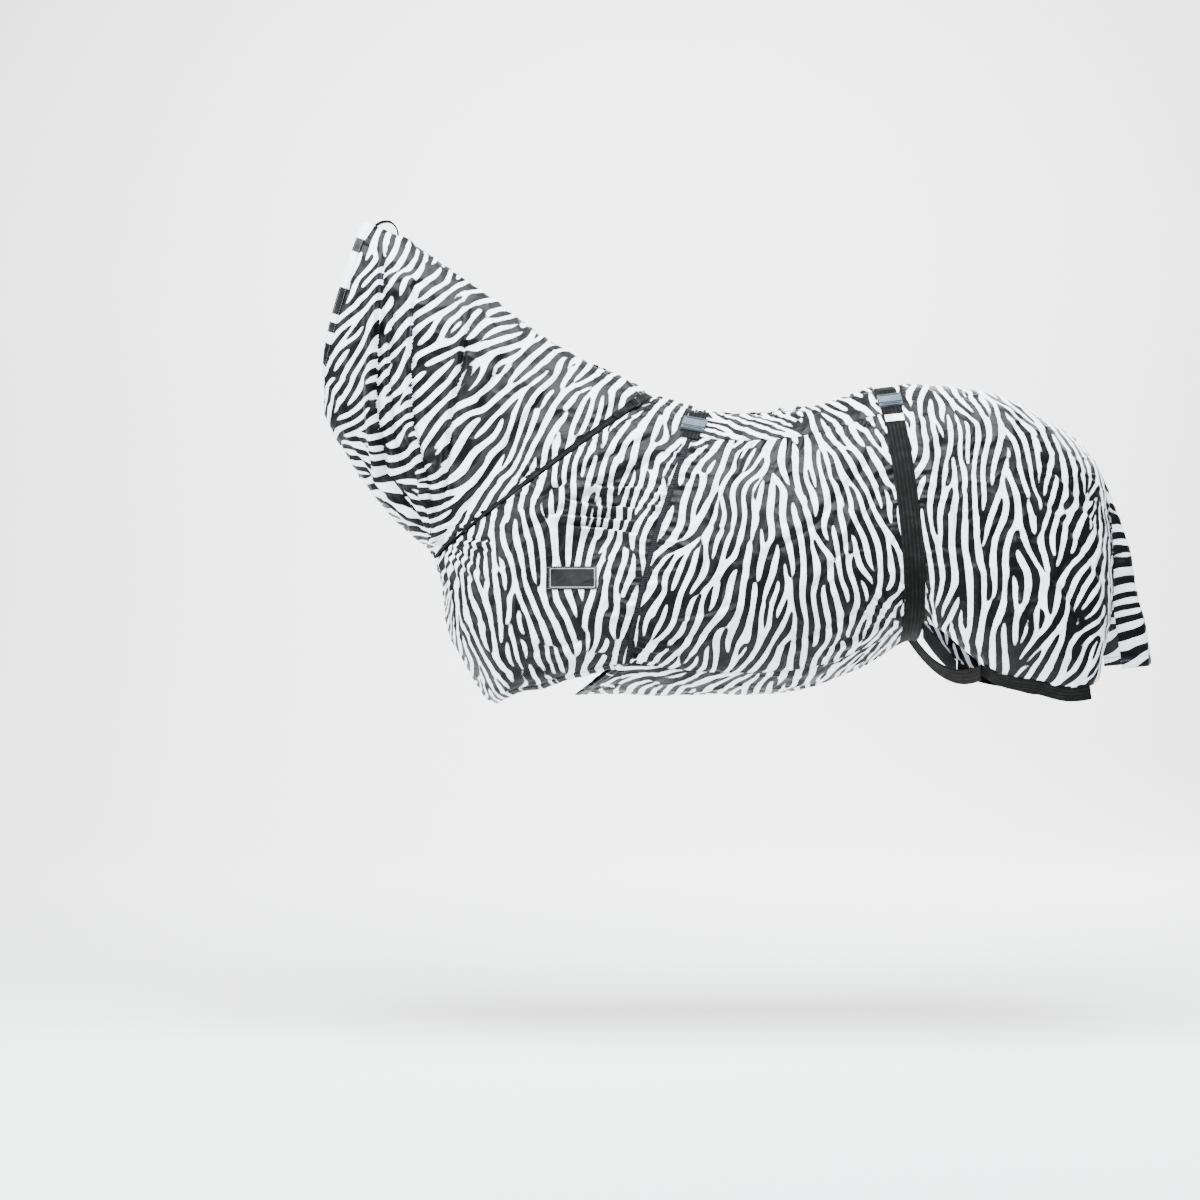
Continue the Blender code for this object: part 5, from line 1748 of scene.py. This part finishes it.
class FLYSHEET_OT_studio(bpy.types.Operator):
    """Makes the floor, the lights, the world and the camera"""

    bl_idname = "flysheet.studio"
    bl_label = "Studio"

    def light(self, name, power, size, place, target, colour=(1, 1, 1)):
        lamp = bpy.data.lights.new(name, "AREA")
        lamp.energy, lamp.color = power, colour
        lamp.shape, lamp.size, lamp.size_y = "RECTANGLE", *size
        made = linked(name, lamp)
        made.location = place
        made.rotation_euler = (Vector(target) - Vector(place)).to_track_quat("-Z", "Y").to_euler()

    def execute(self, context):
        studio = context.scene.fly_studio
        ground = -studio.floor_drop
        line = [(-14.0, ground), (5.0, ground)]
        line += [
            (5.0 + 3.0 * math.sin(t), ground + 3.0 * (1 - math.cos(t)))
            for t in np.linspace(0, math.pi / 2, 17)[1:]
        ]
        line.append((8.0, ground + 12.0))
        vertices = [(x, y, z) for y, z in line for x in (-14.0, 14.0)]
        faces = [(2 * k, 2 * k + 1, 2 * k + 3, 2 * k + 2) for k in range(len(line) - 1)]
        mesh = bpy.data.meshes.new("studio_floor")
        mesh.from_pydata(vertices, [], faces)
        for polygon in mesh.polygons:
            polygon.use_smooth = True
        mesh.materials.append(floor_finish("pale_paper", studio.floor))
        floor = linked("studio_floor", mesh)
        middle = (0.25, 0.0, -0.3)
        cool = (0.90, 0.95, 1.0)
        self.light("top_softbox", studio.top_light, (3.6, 2.4), (0.5, -1.4, 3.2), middle, cool)
        self.light("side_softbox", studio.side_light, (1.5, 1.5), (-4.2, -3.0, 1.7), middle)
        self.light("back_softbox", studio.side_light * 0.7, (3.0, 2.5), (3.0, 4.0, 2.2), middle)
        self.light(
            "backdrop_light", studio.backdrop_light, (6.0, 2.0), (0.3, 3.6, 2.6), (0.3, 8.0, 0.2)
        )
        world = bpy.data.worlds.new("studio_world")
        world.use_nodes = True
        sky = world.node_tree.nodes["Background"]
        sky.inputs["Color"].default_value = (0.95, 0.97, 1.0, 1.0)
        sky.inputs["Strength"].default_value = 0.32
        context.scene.world = world
        lens = bpy.data.cameras.new("studio_camera")
        lens.sensor_width, lens.lens = 36.0, 77.8
        lens.clip_end = 100.0
        camera = linked("studio_camera", lens)
        camera.location = (-0.135, -7.0, -0.551)
        camera.rotation_euler = (math.pi / 2, 0.0, 0.0)
        context.scene.camera = camera
        return {"FINISHED"}


OPERATORS = (
    FLYSHEET_OT_panels,
    FLYSHEET_OT_belly,
    FLYSHEET_OT_tail_flap,
    FLYSHEET_OT_hems,
    FLYSHEET_OT_straps,
    FLYSHEET_OT_elastic,
    FLYSHEET_OT_buckles,
    FLYSHEET_OT_sliders,
    FLYSHEET_OT_label,
    FLYSHEET_OT_poll_loop,
    FLYSHEET_OT_stitches,
    FLYSHEET_OT_studio,
)


class FLYSHEET_PT_dresser(bpy.types.Panel):
    """The sheet's settings and one button for each group of pieces"""

    bl_idname = "FLYSHEET_PT_dresser"
    bl_label = "Fly Sheet"
    bl_space_type = "VIEW_3D"
    bl_region_type = "UI"
    bl_category = "Fly Sheet"

    def draw(self, context):
        scene = context.scene
        for group in (scene.fly_cloth, scene.fly_trim, scene.fly_studio):
            column = self.layout.column()
            for key in group.bl_rna.properties.keys():
                if key not in ("rna_type", "name"):
                    column.prop(group, key)
        for operator in OPERATORS:
            self.layout.operator(operator.bl_idname)


GROUPS = {"fly_cloth": FlySheetCloth, "fly_trim": FlySheetTrim, "fly_studio": FlySheetStudio}


def register():
    for cls in (*GROUPS.values(), *OPERATORS, FLYSHEET_PT_dresser):
        bpy.utils.register_class(cls)
    for name, cls in GROUPS.items():
        setattr(bpy.types.Scene, name, bpy.props.PointerProperty(type=cls))


def unregister():
    for name in GROUPS:
        delattr(bpy.types.Scene, name)
    for cls in reversed((*GROUPS.values(), *OPERATORS, FLYSHEET_PT_dresser)):
        bpy.utils.unregister_class(cls)


def main():
    register()
    for operator in OPERATORS:
        group, name = operator.bl_idname.split(".")
        getattr(getattr(bpy.ops, group), name)()


if __name__ == "__main__":
    main()
